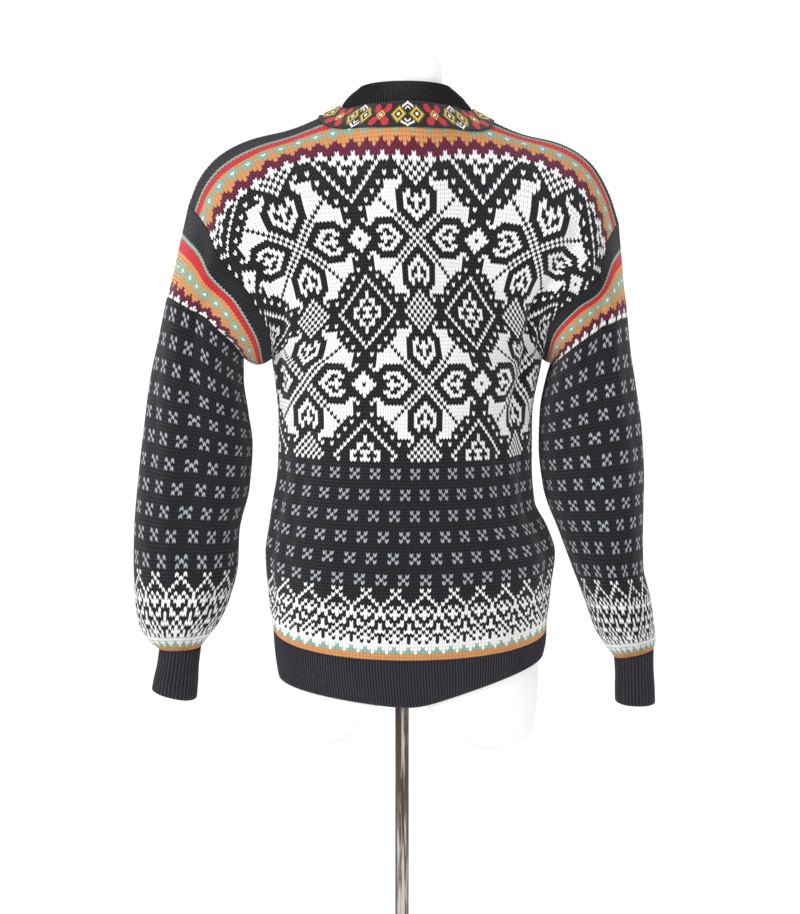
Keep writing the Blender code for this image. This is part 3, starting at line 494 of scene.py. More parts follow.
def starRow(row, across):
    first, second = stars["rows"]
    repeat, half = stars["across"], stars["across"] // 2
    down = min(abs(row - first), abs(row - second))
    a = np.abs((across + half) % repeat - half)
    e = half - a
    low, high = np.minimum(a, down), np.maximum(a, down)
    found = plainRow(charcoal, across)
    for k in range(across.size):
        word = petals[high[k]] if high[k] < len(petals) else ""
        if low[k] < len(word) and word[low[k]] == "o":
            found[k] = white
    free = low > reach[high]
    # rhombus with a dark eye between two stars side by side
    found[e + down <= 6] = charcoal
    found[(e + down <= 3) & (e + down > 0)] = white
    # nested lozenges of single stitches between four stars, half of them at the top and bottom
    gap = abs((row - first) % (second - first) - (second - first) // 2)
    ring = e + gap
    found[free & (ring % 4 == 1) & (e % 2 == 0) & (e + down > 6)] = white
    found[free & ((ring == 9) | (ring == 4)) & (e + down > 6)] = white
    found[(ring == 0) | ((ring == 2) & (e == 1))] = white
    # lozenge between a lower and an upper star
    found[a + gap <= 7] = charcoal
    found[(a + gap <= 5) & ((a + gap) % 2 == 1)] = white
    return found


def zigzagRow(step, across):  # white, plum and orange points, upwards
    four = across % 4
    rows = (
        np.where(four != 2, white, charcoal),
        np.where(four == 0, white, plum),
        plainRow(plum, across),
        np.where(four == 2, orange, plum),
        np.where(four != 0, orange, plum),
    )
    return rows[step]


def diamondRow(away, across):
    reached = np.abs((across + 2) % 4 - 2) + away
    return np.where(reached == 0, white, np.where(reached <= 2, mint, orange))


def chart(bands, rows):  # each band has its last row and what is knitted there
    return np.array([next(knitted for last, knitted in bands if row <= last)(row) for row in range(rows)])


def bodyChart(columns, rows):  # from the hem upwards
    across = np.arange(columns) - columns // 2
    return chart((
        (20, lambda row: borderRow(row, across)),
        (56, lambda row: liceRow(row, 20, across)),
        (133, lambda row: starRow(row, across)),
        (138, lambda row: zigzagRow(row - 134, across)),
        (144, lambda row: diamondRow(abs(row - 142), across)),
        (147, lambda row: plainRow(red, across)),
        (148, lambda row: plainRow(mint, across)),
        (rows, lambda row: plainRow(charcoal, across)),
    ), rows)


def sleeveChart(columns, rows):  # from the shoulder downwards
    across = np.arange(columns) - columns // 4
    return chart((
        (6, lambda row: plainRow(charcoal, across)),
        (7, lambda row: plainRow(mint, across)),
        (10, lambda row: plainRow(red, across)),
        (17, lambda row: diamondRow(abs(row - 14), across)),
        (22, lambda row: zigzagRow(22 - row, across)),
        (88, lambda row: liceRow(row, 23, across)),
        (rows, lambda row: borderRow(rows - 1 - row, across)),
    ), rows)


# Meshes
def placed(name, data):
    obj = bpy.data.objects.new(name, data)
    bpy.context.scene.collection.objects.link(obj)
    return obj


def standsFor(obj, node):
    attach(obj, "root")
    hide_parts(node)
    return obj


def meshObject(name, points, faces, bakeUv, material, stitchUv=None, colours=None, valley=None):
    used, index = np.unique(faces, return_inverse=True)
    faces = index.reshape(faces.shape)
    points = points[used]
    mesh = bpy.data.meshes.new(name)
    mesh.vertices.add(len(points))
    mesh.vertices.foreach_set("co", points.astype(np.float32).ravel())
    mesh.loops.add(faces.size)
    mesh.loops.foreach_set("vertex_index", faces.astype(np.int32).ravel())
    mesh.polygons.add(len(faces))
    mesh.polygons.foreach_set("loop_start", np.arange(0, faces.size, 4, dtype=np.int32))
    mesh.update(calc_edges=True)
    mesh.uv_layers.new(name="OFBake").data.foreach_set("uv", bakeUv.astype(np.float32).ravel())
    if stitchUv is not None:
        mesh.uv_layers.new(name="stitch").data.foreach_set("uv", stitchUv.astype(np.float32).ravel())
    if colours is not None:
        layer = mesh.color_attributes.new(name="yarn", type="FLOAT_COLOR", domain="CORNER")
        layer.data.foreach_set("color", np.repeat(colours, 4, axis=0).astype(np.float32).ravel())
    if valley is not None:
        layer = mesh.attributes.new("valley", "FLOAT", "POINT")
        layer.data.foreach_set("value", valley[used].astype(np.float32))
    mesh.validate()
    mesh.shade_smooth()
    mesh.materials.append(material)
    return placed(name, mesh)


def gridFaces(rows, columns, wrapColumns=False, wrapRows=False):
    j, i = np.meshgrid(np.arange(rows if wrapRows else rows - 1),
                       np.arange(columns if wrapColumns else columns - 1), indexing="ij")
    j, i = j.ravel(), i.ravel()
    nextJ, nextI = (j + 1) % rows, (i + 1) % columns
    faces = np.stack([j * columns + i, j * columns + nextI, nextJ * columns + nextI, nextJ * columns + i], -1)
    high, wide = j.max() + 1, i.max() + 1
    corners = ((0, 0), (1, 0), (1, 1), (0, 1))
    grid = np.stack([np.stack([i + di, j + dj], -1) for di, dj in corners], 1).astype(float)
    return faces, grid, grid / np.array([wide, high])


def turnedOut(points, faces, outward):
    a, b, c = (points[faces[:, k]] for k in range(3))
    return (np.cross(b - a, c - a) * outward[faces[:, 0]]).sum() > 0


def flipFaces(*arrays):
    return [x[:, ::-1] for x in arrays]


# one stitch in four strips: how many rows its points hang down, and how far they stand out
stitch = {"drop": (0.0, 0.27, 0.60, 0.27), "rise": (0.0, 1.0, 0.25, 1.0), "lift": 0.28}


def knitObject(name, surface, columns, rows, closed, colours, material, cut=None):
    count = columns * 4 + (0 if closed else 1)
    step = np.arange(count)
    drop = np.array(stitch["drop"])[step % 4]
    rise = np.array(stitch["rise"])[step % 4]
    random = np.random.RandomState(len(name))
    uneven = random.uniform(-garment["uneven"], garment["uneven"], (rows + 1, count))
    rowGrid = np.clip(np.arange(rows + 1)[:, None] - drop[None, :] + stitch["lift"] + uneven, 0, rows)
    across = np.broadcast_to(step / 4, rowGrid.shape)
    if cut is not None:
        rowGrid = np.minimum(rowGrid, cut(across))
    smoothPoints = surface(across, rowGrid)
    normals = gridNormals(smoothPoints, closed)
    flat = smoothPoints.reshape(-1, 3)
    faces, grid, bakeUv = gridFaces(rows + 1, count, closed)
    outward = normals.reshape(-1, 3)
    middle = flat.mean(0)
    middle[2] = 0
    way = flat * np.array([1, 1, 0]) - middle
    if (outward * way).sum() < 0:
        outward = -outward
    depth = garment["stitchDepth"] * (rise - 1)
    points = flat + outward * np.tile(depth, rows + 1)[:, None]
    colour = colours[grid[:, 0, 1].astype(int), (grid[:, 0, 0] // 4).astype(int)]
    table = np.array([linear(shade) for shade in yarn.values()])
    stitchUv = grid * np.array([0.25, 1.0])
    high = rowGrid.ravel()[faces]
    keep = np.ptp(high[:, [0, 3]], axis=1) + np.ptp(high[:, [1, 2]], axis=1) > 1e-6  # not cut off at the neck
    faces, bakeUv, stitchUv, colour = faces[keep], bakeUv[keep], stitchUv[keep], colour[keep]
    if not turnedOut(points, faces, outward):
        faces, bakeUv, stitchUv = flipFaces(faces, bakeUv, stitchUv)
    corner, beside, _, above = (flat[faces[:, k]] for k in range(4))
    area = np.linalg.norm(np.cross(beside - corner, above - corner), axis=1)
    # the wool material darkens the colour by this value, painted shade in the furrows
    valley = np.tile(1 - rise, rows + 1)
    obj = meshObject(name, points, faces, bakeUv, material, stitchUv, table[colour], valley)
    print(f"{name}: {2 * len(faces)} triangles, {area.sum():.4f} m2 without the relief")
    return obj


# Wool, as a knit of coloured stitches and as plain ribs
# valleyShade and rowShade darken the colour as painted shade in the furrows and row grooves; mottle and patchy
# are the yarn's own uneven tone
knitYarn = {"valleyShade": 0.44, "rowShade": 0.24, "rowEdge": 0.78, "mottle": 0.24, "patchy": 0.1,
            "fuzz": 0.0005, "rowDepth": 0.0006, "sheen": 0.15}
ribYarn = {"valleyShade": 0.95, "rowShade": 0.03, "rowEdge": 0.65, "mottle": 0.40, "patchy": 0.0,
           "fuzz": 0.0003, "rowDepth": 0.0002, "sheen": 0.12}


def woolMaterial(name, look, colour=None):  # each stitch in its own yarn, if no colour is given
    shader = Shader(name)
    base = shader.yarnColour() if colour is None else linear(colour)
    where = shader.place()
    fine = shader.noise(where, 900.0, 2.0)
    broad = shader.noise(where, 55.0)
    edge = ((shader.stitchPlace(1).fraction() - 0.5) * 2.0).away().between(look["rowEdge"], 1.0)
    # painted shade: the colour is darkened in the furrows between stitches and ribs and along the edges of
    # each row
    shade = 1.0 - shader.valley() * look["valleyShade"] - edge * look["rowShade"]
    shade = shade * fine.around(look["mottle"]) * broad.around(look["patchy"])
    shader.set(Base_Color=shader.dimmed(base, shade), Roughness=0.95, Specular_IOR_Level=0.15)
    shader.set(Normal=shader.bump(fine * look["fuzz"] - edge * look["rowDepth"]))
    shader.set(Sheen_Weight=look["sheen"], Sheen_Roughness=0.6)
    return shader.material


knit = woolMaterial("patternedKnit", knitYarn)
rib = woolMaterial("charcoalRib", ribYarn, (44, 41, 50))
collarYarn = woolMaterial("charcoalCollar", ribYarn, (12, 8, 13))


def bodyKnit(back):
    columns, rows = garment["columns"], garment["chartRows"]
    table = spacingTable(back)

    def place(across, row):  # share across and surface row of a stitch
        c = across / (columns / 2) - 1
        skew = smoothCurve(garment["skewRows"], garment["skew"], row)
        c = c + skew * (1 - c**2) if back else c
        u = spaced(table, c, row)
        for _ in range(2):
            high = surfaceRow(u, row, back)
            u = spaced(table, c, high)
        return u, high

    def surface(across, row):
        u, high = place(across, row)
        return bodySurface(u, high, back)

    def cut(across):  # chart row at the neck's edge
        low, high = np.zeros(across.shape), np.full(across.shape, float(rows))
        for _ in range(14):
            row = (low + high) / 2
            u, reached = place(across, row)
            over = reached > neckRow(u, back)
            low, high = np.where(over, low, row), np.where(over, row, high)
        return high

    name = "knitBack" if back else "knitFront"
    obj = knitObject(name, surface, columns, rows, False, bodyChart(columns, rows), knit, cut)
    return standsFor(obj, "body_back" if back else "body_front")


knitBack = bodyKnit(True)
knitFront = bodyKnit(False)

# Sleeves
sleeveCut = {
    "flat": (0.50, 0.48), "area": 0.200, "columns": 102, "rows": 110, "wholeRow": 24, "puff": 0.004,
    "sag": {"left": 0.008, "right": 0.002},
    # chart rows, and the surface rows that they are laid on
    "chartRow": (0, 11, 23, 60, 110),
    "laidRow": {"left": (0, 11, 23, 60, 110), "right": (0, 11, 26, 64, 110)},
}
sleeveRings = {
    "row": (24, 33, 43, 55, 68, 81, 89, 98, 103, 107, 110),
    "lift": (0.020, 0.015, 0.010, 0.006, 0.002, 0, 0, 0, 0, 0, 0),
    "left": {
        "outerX": (0.282, 0.292, 0.303, 0.311, 0.319, 0.325, 0.3265, 0.3255, 0.321, 0.310, 0.297),
        "outerZ": (0.848, 0.803, 0.755, 0.700, 0.638, 0.575, 0.531, 0.486, 0.457, 0.437, 0.427),
        "innerX": (0.191, 0.191, 0.186, 0.181, 0.185, 0.198, 0.200, 0.210, 0.223, 0.238, 0.246),
        "innerZ": (0.782, 0.752, 0.715, 0.675, 0.624, 0.568, 0.529, 0.488, 0.459, 0.439, 0.429),
        "depth": (0.084, 0.081, 0.077, 0.073, 0.070, 0.067, 0.064, 0.058, 0.050, 0.038, 0.031),
    },
    "right": {
        "outerX": (-0.269, -0.2735, -0.281, -0.289, -0.293, -0.2925, -0.2935, -0.304, -0.308, -0.3105, -0.308),
        "outerZ": (0.838, 0.795, 0.750, 0.697, 0.634, 0.575, 0.531, 0.486, 0.457, 0.438, 0.4275),
        "innerX": (-0.182, -0.173, -0.1665, -0.1655, -0.1715, -0.192, -0.207, -0.224, -0.236, -0.251, -0.260),
        "innerZ": (0.776, 0.750, 0.715, 0.675, 0.624, 0.568, 0.528, 0.483, 0.450, 0.4265, 0.4155),
        "depth": (0.084, 0.081, 0.077, 0.073, 0.069, 0.064, 0.060, 0.054, 0.047, 0.036, 0.029),
    },
}
sleeveFolds = {
    "left": (
        ((0.245, 8), (0.275, 84), 0.042, 0.0080),
        ((0.130, 4), (0.190, 26), 0.045, 0.0050),
        ((0.370, 30), (0.330, 52), 0.050, 0.0040),
        ((0.760, 26), (0.730, 80), 0.050, 0.0050),
    ),
    "right": (
        ((0.215, 12), (0.235, 46), 0.045, 0.0070),
        ((0.330, 40), (0.300, 80), 0.050, 0.0045),
        ((0.770, 24), (0.740, 78), 0.050, 0.0050),
    ),
}
sleeveCreases = {
    "left": (
        ((0.225, 12), (0.26, 96), 0.018, 0.0030),
        ((0.10, 40), (0.14, 70), 0.030, 0.0022),
        ((0.33, 60), (0.36, 92), 0.030, 0.0016),
        ((0.18, 84), (0.24, 104), 0.030, 0.0020),
    ),
    "right": (
        ((0.20, 18), (0.215, 44), 0.018, 0.0028),
        ((0.12, 30), (0.10, 60), 0.030, 0.0020),
        ((0.20, 58), (0.17, 92), 0.028, 0.0020),
        ((0.36, 82), (0.30, 104), 0.030, 0.0018),
    ),
}


def sleevePoint(side, a, row):  # a is 0 at the shoulder point, 0.25 at the back, 0.5 at the underarm
    a, row = np.broadcast_arrays(np.asarray(a, float), np.asarray(row, float))
    below = np.maximum(row, sleeveCut["wholeRow"])
    table = {**sleeveRings[side], "lift": sleeveRings["lift"]}
    ring = {name: smoothCurve(sleeveRings["row"], values, below) for name, values in table.items()}
    turn = 2 * math.pi * a
    c, s = np.cos(turn), np.sin(turn)
    x = (ring["outerX"] + ring["innerX"]) / 2 + (ring["outerX"] - ring["innerX"]) / 2 * fuller(c)
    y = ring["depth"] * fuller(s)
    z = (ring["outerZ"] + ring["innerZ"]) / 2 + (ring["outerZ"] - ring["innerZ"]) / 2 * c
    z = z + ring["lift"] * np.abs(s)
    whole = a % 1.0
    share = np.abs(1 - 2 * whole)
    seams = zip(armhole(side, share, True), armhole(side, share, False))
    seamX, seamY, seamZ = (np.where(whole <= 0.5, b, f) for b, f in seams)
    k = np.clip(row / sleeveCut["wholeRow"], 0, 1)
    puff = np.sin(math.pi * k)
    underarm = np.clip(-c, 0, 1) ** 2
    return np.stack([
        seamX + (x - seamX) * k,
        seamY + (y - seamY) * k + sleeveCut["puff"] * puff * s,
        seamZ + (z - seamZ) * k - sleeveCut["sag"][side] * puff * underarm,
    ], -1)


def sleeveNormal(side, a, row):
    around = sleevePoint(side, a + 0.002, row) - sleevePoint(side, a - 0.002, row)
    lower = np.maximum(row - 0.25, 0)
    upper = np.minimum(lower + 0.5, sleeveCut["rows"])
    normal = np.cross(sleevePoint(side, a, upper) - sleevePoint(side, a, lower), around)
    return unit(normal if side == "left" else -normal)


def sleeveSurface(side, a, row):
    fade = np.clip(row / 6, 0, 1) * np.clip((sleeveCut["rows"] - row) / 12, 0, 1)
    depth = foldDepth(a % 1.0, row, sleeveFolds[side] + sleeveCreases[side]) * fade
    return sleevePoint(side, a, row) - sleeveNormal(side, a, row) * depth[..., None]


def sleeveKnit(side):
    columns, rows = sleeveCut["columns"], sleeveCut["rows"]

    def surface(across, row):
        laid = smoothCurve(sleeveCut["chartRow"], sleeveCut["laidRow"][side], row)
        return sleeveSurface(side, across / columns, laid)

    name = "knitSleeve" + side.title()
    obj = knitObject(name, surface, columns, rows, True, sleeveChart(columns, rows), knit)
    return standsFor(obj, "sleeve_" + side)


sleeveObjects = {side: sleeveKnit(side) for side in ("left", "right")}
print("knitted pieces done")


# Ribbed edges
def levelDirection(ring, rise=0.0):
    tangent = np.roll(ring, -1, 0) - np.roll(ring, 1, 0)
    out = np.stack([tangent[:, 1], -tangent[:, 0], np.zeros(len(ring))], -1)
    if ((ring - ring.mean(0)) * out).sum() < 0:
        out = -out
    return unit(unit(out) + np.array([0, 0, rise]))


def evenly(ring, count):
    closed = closedRing(ring)
    length = lengthAlong(closed)
    at = np.linspace(0, length[-1], count, endpoint=False)
    return np.stack([np.interp(at, length, closed[:, k]) for k in range(3)], -1)


ribShape = {"points": 8, "full": 0.8, "innerShare": 0.35, "roundEdge": 0.0006}


def ribPiece(name, rings, rises, size, node, material=rib):  # from the seam to the open edge and back inside
    per, depth, rows = ribShape["points"], size["depth"], size["rows"]
    columns = size["ribs"] * per
    phase = (np.arange(columns) % per) / per
    crest = np.clip(0.5 + 0.5 * np.cos(2 * math.pi * phase), 0, 1) ** ribShape["full"]
    rings = [evenly(ring, columns) for ring in rings]
    ways = [levelDirection(ring, rise) for ring, rise in zip(rings, rises)]
    wall = garment["wall"]
    outer, inner = [], []
    for p, d in zip(rings, ways):
        outer.append(p - d * (depth * (1 - crest))[:, None])
        inner.append(p - d * (wall - ribShape["innerShare"] * depth * (1 - crest))[:, None])
    onward = unit(rings[-1] - rings[-2])
    tip = rings[-1] + onward * ribShape["roundEdge"] - ways[-1] * (wall * 0.5)
    layers = outer + [tip] + inner[::-1]
    points = np.concatenate(layers)
    outward = np.concatenate(ways + [onward] + [-d for d in ways[::-1]])
    faces, grid, bakeUv = gridFaces(len(layers), columns, True, True)
    rowOf = np.linspace(0, rows, len(outer))
    height = np.concatenate([rowOf, [rows], rowOf[::-1], [0]])
    stitchUv = np.stack([grid[..., 0] / per, height[grid[..., 1].astype(int)]], -1)
    # the wool material darkens the colour by this value, painted shade between the ribs
    valley = np.tile(1 - crest, len(layers))
    if not turnedOut(points, faces, outward):
        faces, bakeUv, stitchUv = flipFaces(faces, bakeUv, stitchUv)
    print(f"{name}: {2 * len(faces)} triangles")
    obj = meshObject(name, points, faces, bakeUv, material, stitchUv, None, valley)
    return standsFor(obj, node)


hem = {"left": 0.151, "right": -0.1725, "back": 0.118, "front": -0.108, "middleZ": 0.380, "leftZ": 0.395,
       "rightZ": 0.421, "risePower": 0.6, "riseSoft": 0.12, "ripple": 0.0007, "swell": 0.0008,
       "ribs": 264, "depth": 0.0012, "rows": 14, "flat": (0.93, 0.056)}


def hemRib():
    u = np.linspace(-1, 1, 181)
    ring = np.concatenate([panel(u[::-1], 0.0, True), panel(u[1:-1], 0.0, False)])
    turn = np.arctan2(ring[:, 1] / girth["back"][1], (ring[:, 0] - garment["middleX"]) / girth["left"][3])
    c, s = np.cos(turn), np.sin(turn)
    halfX = np.where(c > 0, hem["left"] - garment["middleX"], garment["middleX"] - hem["right"])
    halfY = np.where(s > 0, hem["back"], -hem["front"])
    sideZ = np.where(c > 0, hem["leftZ"], hem["rightZ"])
    soft = hem["riseSoft"] ** hem["risePower"]
    rise = ((c**2 + hem["riseSoft"] ** 2) ** (hem["risePower"] / 2) - soft) / (1 - soft)
    end = np.stack([
        garment["middleX"] + halfX * fuller(c, garment["sideRound"]),
        halfY * fuller(s, garment["sideRound"]),
        hem["middleZ"] + (sideZ - hem["middleZ"]) * rise,
    ], -1)
    rings = []
    for t in np.linspace(0, 1, 15):
        wave = hem["ripple"] * np.sin(turn * 11 + 0.8 * np.sin(turn * 3)) * math.sin(math.pi * t) ** 0.7
        middle = ring + (end - ring) * t
        rings.append(middle + levelDirection(middle) * (wave + hem["swell"] * math.sin(math.pi * t))[:, None])
    return ribPiece("ribHem", rings, [0.0] * len(rings), hem, "hem_rib")


collar = {"left": 0.050, "right": -0.0575, "back": 0.051, "front": -0.047, "backZ": 1.110, "frontZ": 1.095,
          "rise": 0.002, "ribs": 104, "depth": 0.0016, "rows": 8, "flat": (0.40, 0.034)}


def collarRib():
    share = garment["neckShare"] * np.sin(np.linspace(-math.pi / 2, math.pi / 2, 91))
    back = panel(share[::-1], neckRow(share[::-1], True), True)
    front = panel(share[1:-1], neckRow(share[1:-1], False), False)
    start = np.concatenate([back, front])
    across = (start[:, 0] - garment["middleX"]) / -start[:, 0].min()
    turn = np.arctan2(start[:, 1] / middleLine["backY"][4], across)
    c, s = np.cos(turn), np.sin(turn)
    top = np.stack([
        (collar["left"] + collar["right"]) / 2 + (collar["left"] - collar["right"]) / 2 * c,
        np.where(s > 0, collar["back"], -collar["front"]) * s,
        (collar["backZ"] + collar["frontZ"]) / 2 + (collar["backZ"] - collar["frontZ"]) / 2 * s,
    ], -1)
    bend = (start + top) / 2 + levelDirection(start, 1.0) * collar["rise"]
    rings, rises = [], []
    for t in np.linspace(0, 1, 13):
        rings.append(start * (1 - t) * (1 - 2 * t) + bend * 4 * t * (1 - t) + top * t * (2 * t - 1))
        rises.append(1.0 - 0.7 * t)
    return ribPiece("ribCollar", rings, rises, collar, "collar_rib", collarYarn)


cuffs = {
    "ribs": 40, "depth": 0.0013, "rows": 15, "waist": 0.97, "waistAt": 0.38, "flat": (0.175, 0.058),
    "left": {"outer": (0.307, 0.376), "inner": (0.252, 0.364), "depth": 0.033},
    "right": {"outer": (-0.311, 0.359), "inner": (-0.262, 0.360), "depth": 0.030},
}


def cuffRib(side):
    a = np.linspace(0, 1, 160, endpoint=False)
    top = sleevePoint(side, a, float(sleeveCut["rows"]))
    end = cuffs[side]
    left, right = (end["outer"], end["inner"]) if side == "left" else (end["inner"], end["outer"])
    turn = 2 * math.pi * a
    c, s = np.cos(turn), np.sin(turn)
    if side == "right":
        c = -c
    x = (left[0] + right[0]) / 2 + (left[0] - right[0]) / 2 * fuller(c)
    y = end["depth"] * fuller(s)
    z = right[1] + (x - right[0]) * (left[1] - right[1]) / (left[0] - right[0])
    lower = np.stack([x, y, z], -1)
    rings = []
    for t in np.linspace(0, 1, 15):
        ring = top + (lower - top) * t
        pinch = 1 - (1 - cuffs["waist"]) * math.sin(math.pi * min(t / cuffs["waistAt"] / 2, 1.0)) ** 2
        middle = ring.mean(0)
        rings.append(middle + (ring - middle) * np.array([pinch, pinch, 1]))
    return ribPiece("ribCuff" + side.title(), rings, [0.0] * len(rings), cuffs, "cuff_" + side)


hemObject = hemRib()
collarObject = collarRib()
cuffObjects = {side: cuffRib(side) for side in ("left", "right")}
print("ribs done")

# Woven ribbon round the neckline
ribbon = {
    "lift": 0.0009, "thick": 0.0010, "side": 1.32, "back": 1.66, "front": 1.46, "repeats": 8, "cells": 72,
    "overCollar": 0.24, "overLift": 0.0022, "slack": 0.04, "high": 28, "flat": (0.53, 0.029),
    "ground": (15, 16, 22), "petal": (190, 26, 46), "gold": (214, 176, 62), "olive": (122, 118, 34),
    "white": (246, 244, 236),
}


def ribbonColour(across, up):  # in cells of the weave, from the middle of the band
    half = ribbon["cells"] // 2
    a = np.abs((across + half) % ribbon["cells"] - half)  # 0 at the pair of lozenges, half at the flower
    b = np.abs(up)
    colour = np.tile(np.array(linear(ribbon["ground"])), (across.size, 1))

    def paint(where, name):
        colour[where] = linear(ribbon[name])

    side = np.abs(a - 11.5)
    ring = side + b
    paint((ring <= 10.2) & (ring > 8.6), "olive")
    paint((ring <= 8.0) & (ring > 5.6), "gold")
    paint(ring <= 2.4, "white")
    paint((np.abs(b + 0.55 * a - 12.4) <= 1.1) & (a <= 7.5), "white")
    paint((np.abs(b + 0.9 * a - 8.6) <= 0.9) & (a <= 3.6), "white")
    f = half - a
    s, t = (f * 0.86 + b) / 1.32, (f * 0.86 - b) / 1.32
    leaf = 4.3 * np.sqrt(np.clip((s - 4.2) / 5.5, 0, 1)) * np.clip((17.2 - np.abs(t) * 0.6 - s) / 1.0, 0, 1)
    paint((np.abs(t) <= leaf) & (s > 4.2), "petal")
    kernel = f * 0.85 + b
    paint(kernel <= 5.8, "gold")
    paint(kernel <= 4.0, "ground")
    paint(kernel <= 2.2, "white")
    return colour


def ribbonMaterial():
    shader = Shader("wovenRibbon")
    thread = (shader.stitchPlace(0) * (2 * math.pi * 2)).sine()
    # painted shade: the colour is darker in the grooves between the threads, where the bump is lowest
    base = shader.dimmed(shader.yarnColour(), 0.93 + thread * 0.07)
    shader.set(Base_Color=base, Roughness=0.62, Specular_IOR_Level=0.3, Sheen_Weight=0.1)
    shader.set(Normal=shader.bump(thread * 0.00006))
    return shader.material


def makeRibbon():
    columns = ribbon["repeats"] * ribbon["cells"]
    turn = fullTurn(columns * 2) - math.pi
    c, s = np.cos(turn), np.sin(turn)
    layers, ways = [], []
    for across in np.linspace(-ribbon["overCollar"], 1.0, ribbon["high"] + 1):
        out = np.where(across < 0, across * np.abs(c), across) + ribbon["slack"] * (1 - np.abs(c))
        u = garment["neckShare"] * (1 + (ribbon["side"] - 1) * out) * s
        found = []
        for back, deep, low in ((True, garment["neckRowsBack"], ribbon["back"]),
                                (False, garment["neckRowsFront"], ribbon["front"])):
            row = garment["ridgeRow"] - deep * (1 + (low - 1) * out) * np.abs(c)
            found.append((panel(u, row, back), panelNormal(u, row, back)))
        onBack = (c > 0)[:, None]
        point, normal = (np.where(onBack, *pair) for pair in zip(*found))
        point = point + normal * (ribbon["overLift"] * np.clip(-out / ribbon["overCollar"], 0, 1))[:, None]
        for _ in range(60):  # soften the turn over the shoulder
            normal = (np.roll(normal, 1, 0) + normal * 2 + np.roll(normal, -1, 0)) / 4
        layers.append(point)
        ways.append(unit(normal))
    # the same number of steps along the band, counted from the middle of the back
    length = lengthAlong(closedRing(layers[len(layers) // 2]))
    centre = length[len(turn) // 2]
    at = (np.arange(columns) / columns * length[-1] + centre) % length[-1]
    place = np.interp(at, length, np.arange(len(length)))
    low = np.floor(place).astype(int) % len(turn)
    part = (place % 1.0)[:, None]

    def sample(values):
        return values[low] * (1 - part) + values[(low + 1) % len(turn)] * part

    layers, ways = [sample(v) for v in layers], [unit(sample(v)) for v in ways]
    top = [p + n * (ribbon["lift"] + ribbon["thick"]) for p, n in zip(layers, ways)]
    edge = [p + n * ribbon["lift"] for p, n in zip(layers, ways)]
    rows = top + [edge[-1], edge[len(edge) // 2], edge[0]]
    points = np.concatenate(rows)
    outward = np.concatenate(ways + [-ways[-1], -ways[len(ways) // 2], -ways[0]])
    faces, grid, bakeUv = gridFaces(len(rows), columns, True, True)
    j = grid[:, 0, 1]
    colour = ribbonColour(grid[:, 0, 0], j - (ribbon["high"] - 1) / 2)
    colour[j >= ribbon["high"]] = linear(ribbon["ground"])
    if not turnedOut(points, faces, outward):
        faces, bakeUv, grid = flipFaces(faces, bakeUv, grid)
    print(f"ribbonBand: {2 * len(faces)} triangles, {length[-1]:.3f} m long")
    obj = meshObject("ribbonBand", points, faces, bakeUv, ribbonMaterial(), grid, colour)
    return standsFor(obj, "neck_ribbon")


ribbonObject = makeRibbon()

# Dress form
form = {
    "z": (0.330, 0.360, 0.400, 0.450, 0.500, 0.560, 0.620, 0.700, 0.780, 0.840, 0.890, 0.930,
          0.960, 0.985, 1.005, 1.020, 1.034, 1.050, 1.066, 1.084, 1.102, 1.120),
    "left": (0.141, 0.144, 0.146, 0.146, 0.146, 0.146, 0.143, 0.138, 0.141, 0.148, 0.170, 0.196,
             0.222, 0.228, 0.222, 0.206, 0.165, 0.105, 0.062, 0.036, 0.025, 0.0225),
    "right": (-0.162, -0.1655, -0.167, -0.167, -0.167, -0.163, -0.149, -0.1425, -0.149, -0.158, -0.178, -0.202,
              -0.224, -0.230, -0.224, -0.208, -0.172, -0.116, -0.073, -0.053, -0.0485, -0.0475),
    "back": (0.104, 0.110, 0.114, 0.117, 0.117, 0.112, 0.107, 0.103, 0.104, 0.105, 0.103, 0.099,
             0.092, 0.084, 0.074, 0.065, 0.059, 0.053, 0.047, 0.042, 0.038, 0.037),
    "front": (-0.096, -0.101, -0.103, -0.104, -0.104, -0.101, -0.098, -0.097, -0.103, -0.105, -0.102, -0.096,
              -0.088, -0.079, -0.070, -0.061, -0.055, -0.050, -0.045, -0.041, -0.038, -0.037),
    # heights of the rings: from, to, how many
    "foot": (0.330, 0.400, 8), "trunk": (0.42, 0.94, 27), "shoulders": (0.95, 1.12, 35),
    "topZ": 1.1477, "neckX": -0.0128, "bottomZ": 0.308,
    "archZ": 0.398, "archWidth": 0.058, "footLift": 0.66,
    "gap": 0.0035, "around": 96, "colour": (0.80, 0.795, 0.785, 1),
}


def formRings():  # inside the cloth, which the rays from the form's axis meet
    points, faces = [], []
    for piece in (knitBack, knitFront, collarObject):
        start = len(points)
        points += [tuple(v.co) for v in piece.data.vertices]
        faces += [[start + i for i in f.vertices] for f in piece.data.polygons]
    cloth = BVHTree.FromPolygons(points, faces)
    turn = fullTurn(form["around"])
    c, s = np.cos(turn), np.sin(turn)
    rings = []
    for z in np.concatenate([np.linspace(*form[part]) for part in ("foot", "trunk", "shoulders")]):
        sides = (float(smoothCurve(form["z"], form[name], z)) for name in ("left", "right", "back", "front"))
        left, right, back, front = sides
        x = (left + right) / 2 + (left - right) / 2 * fuller(c)
        ring = np.stack([x, np.where(s > 0, back, -front) * fuller(s), np.full(len(x), z)], -1)
        axis = Vector(((left + right) / 2, 0, z))
        for i, p in enumerate(ring):
            way = Vector(p) - axis
            hit, _, _, distance = cloth.ray_cast(axis, way.normalized())
            if hit:
                ring[i] = axis + way.normalized() * min(way.length, distance - form["gap"])
        rings.append(ring)
    return rings


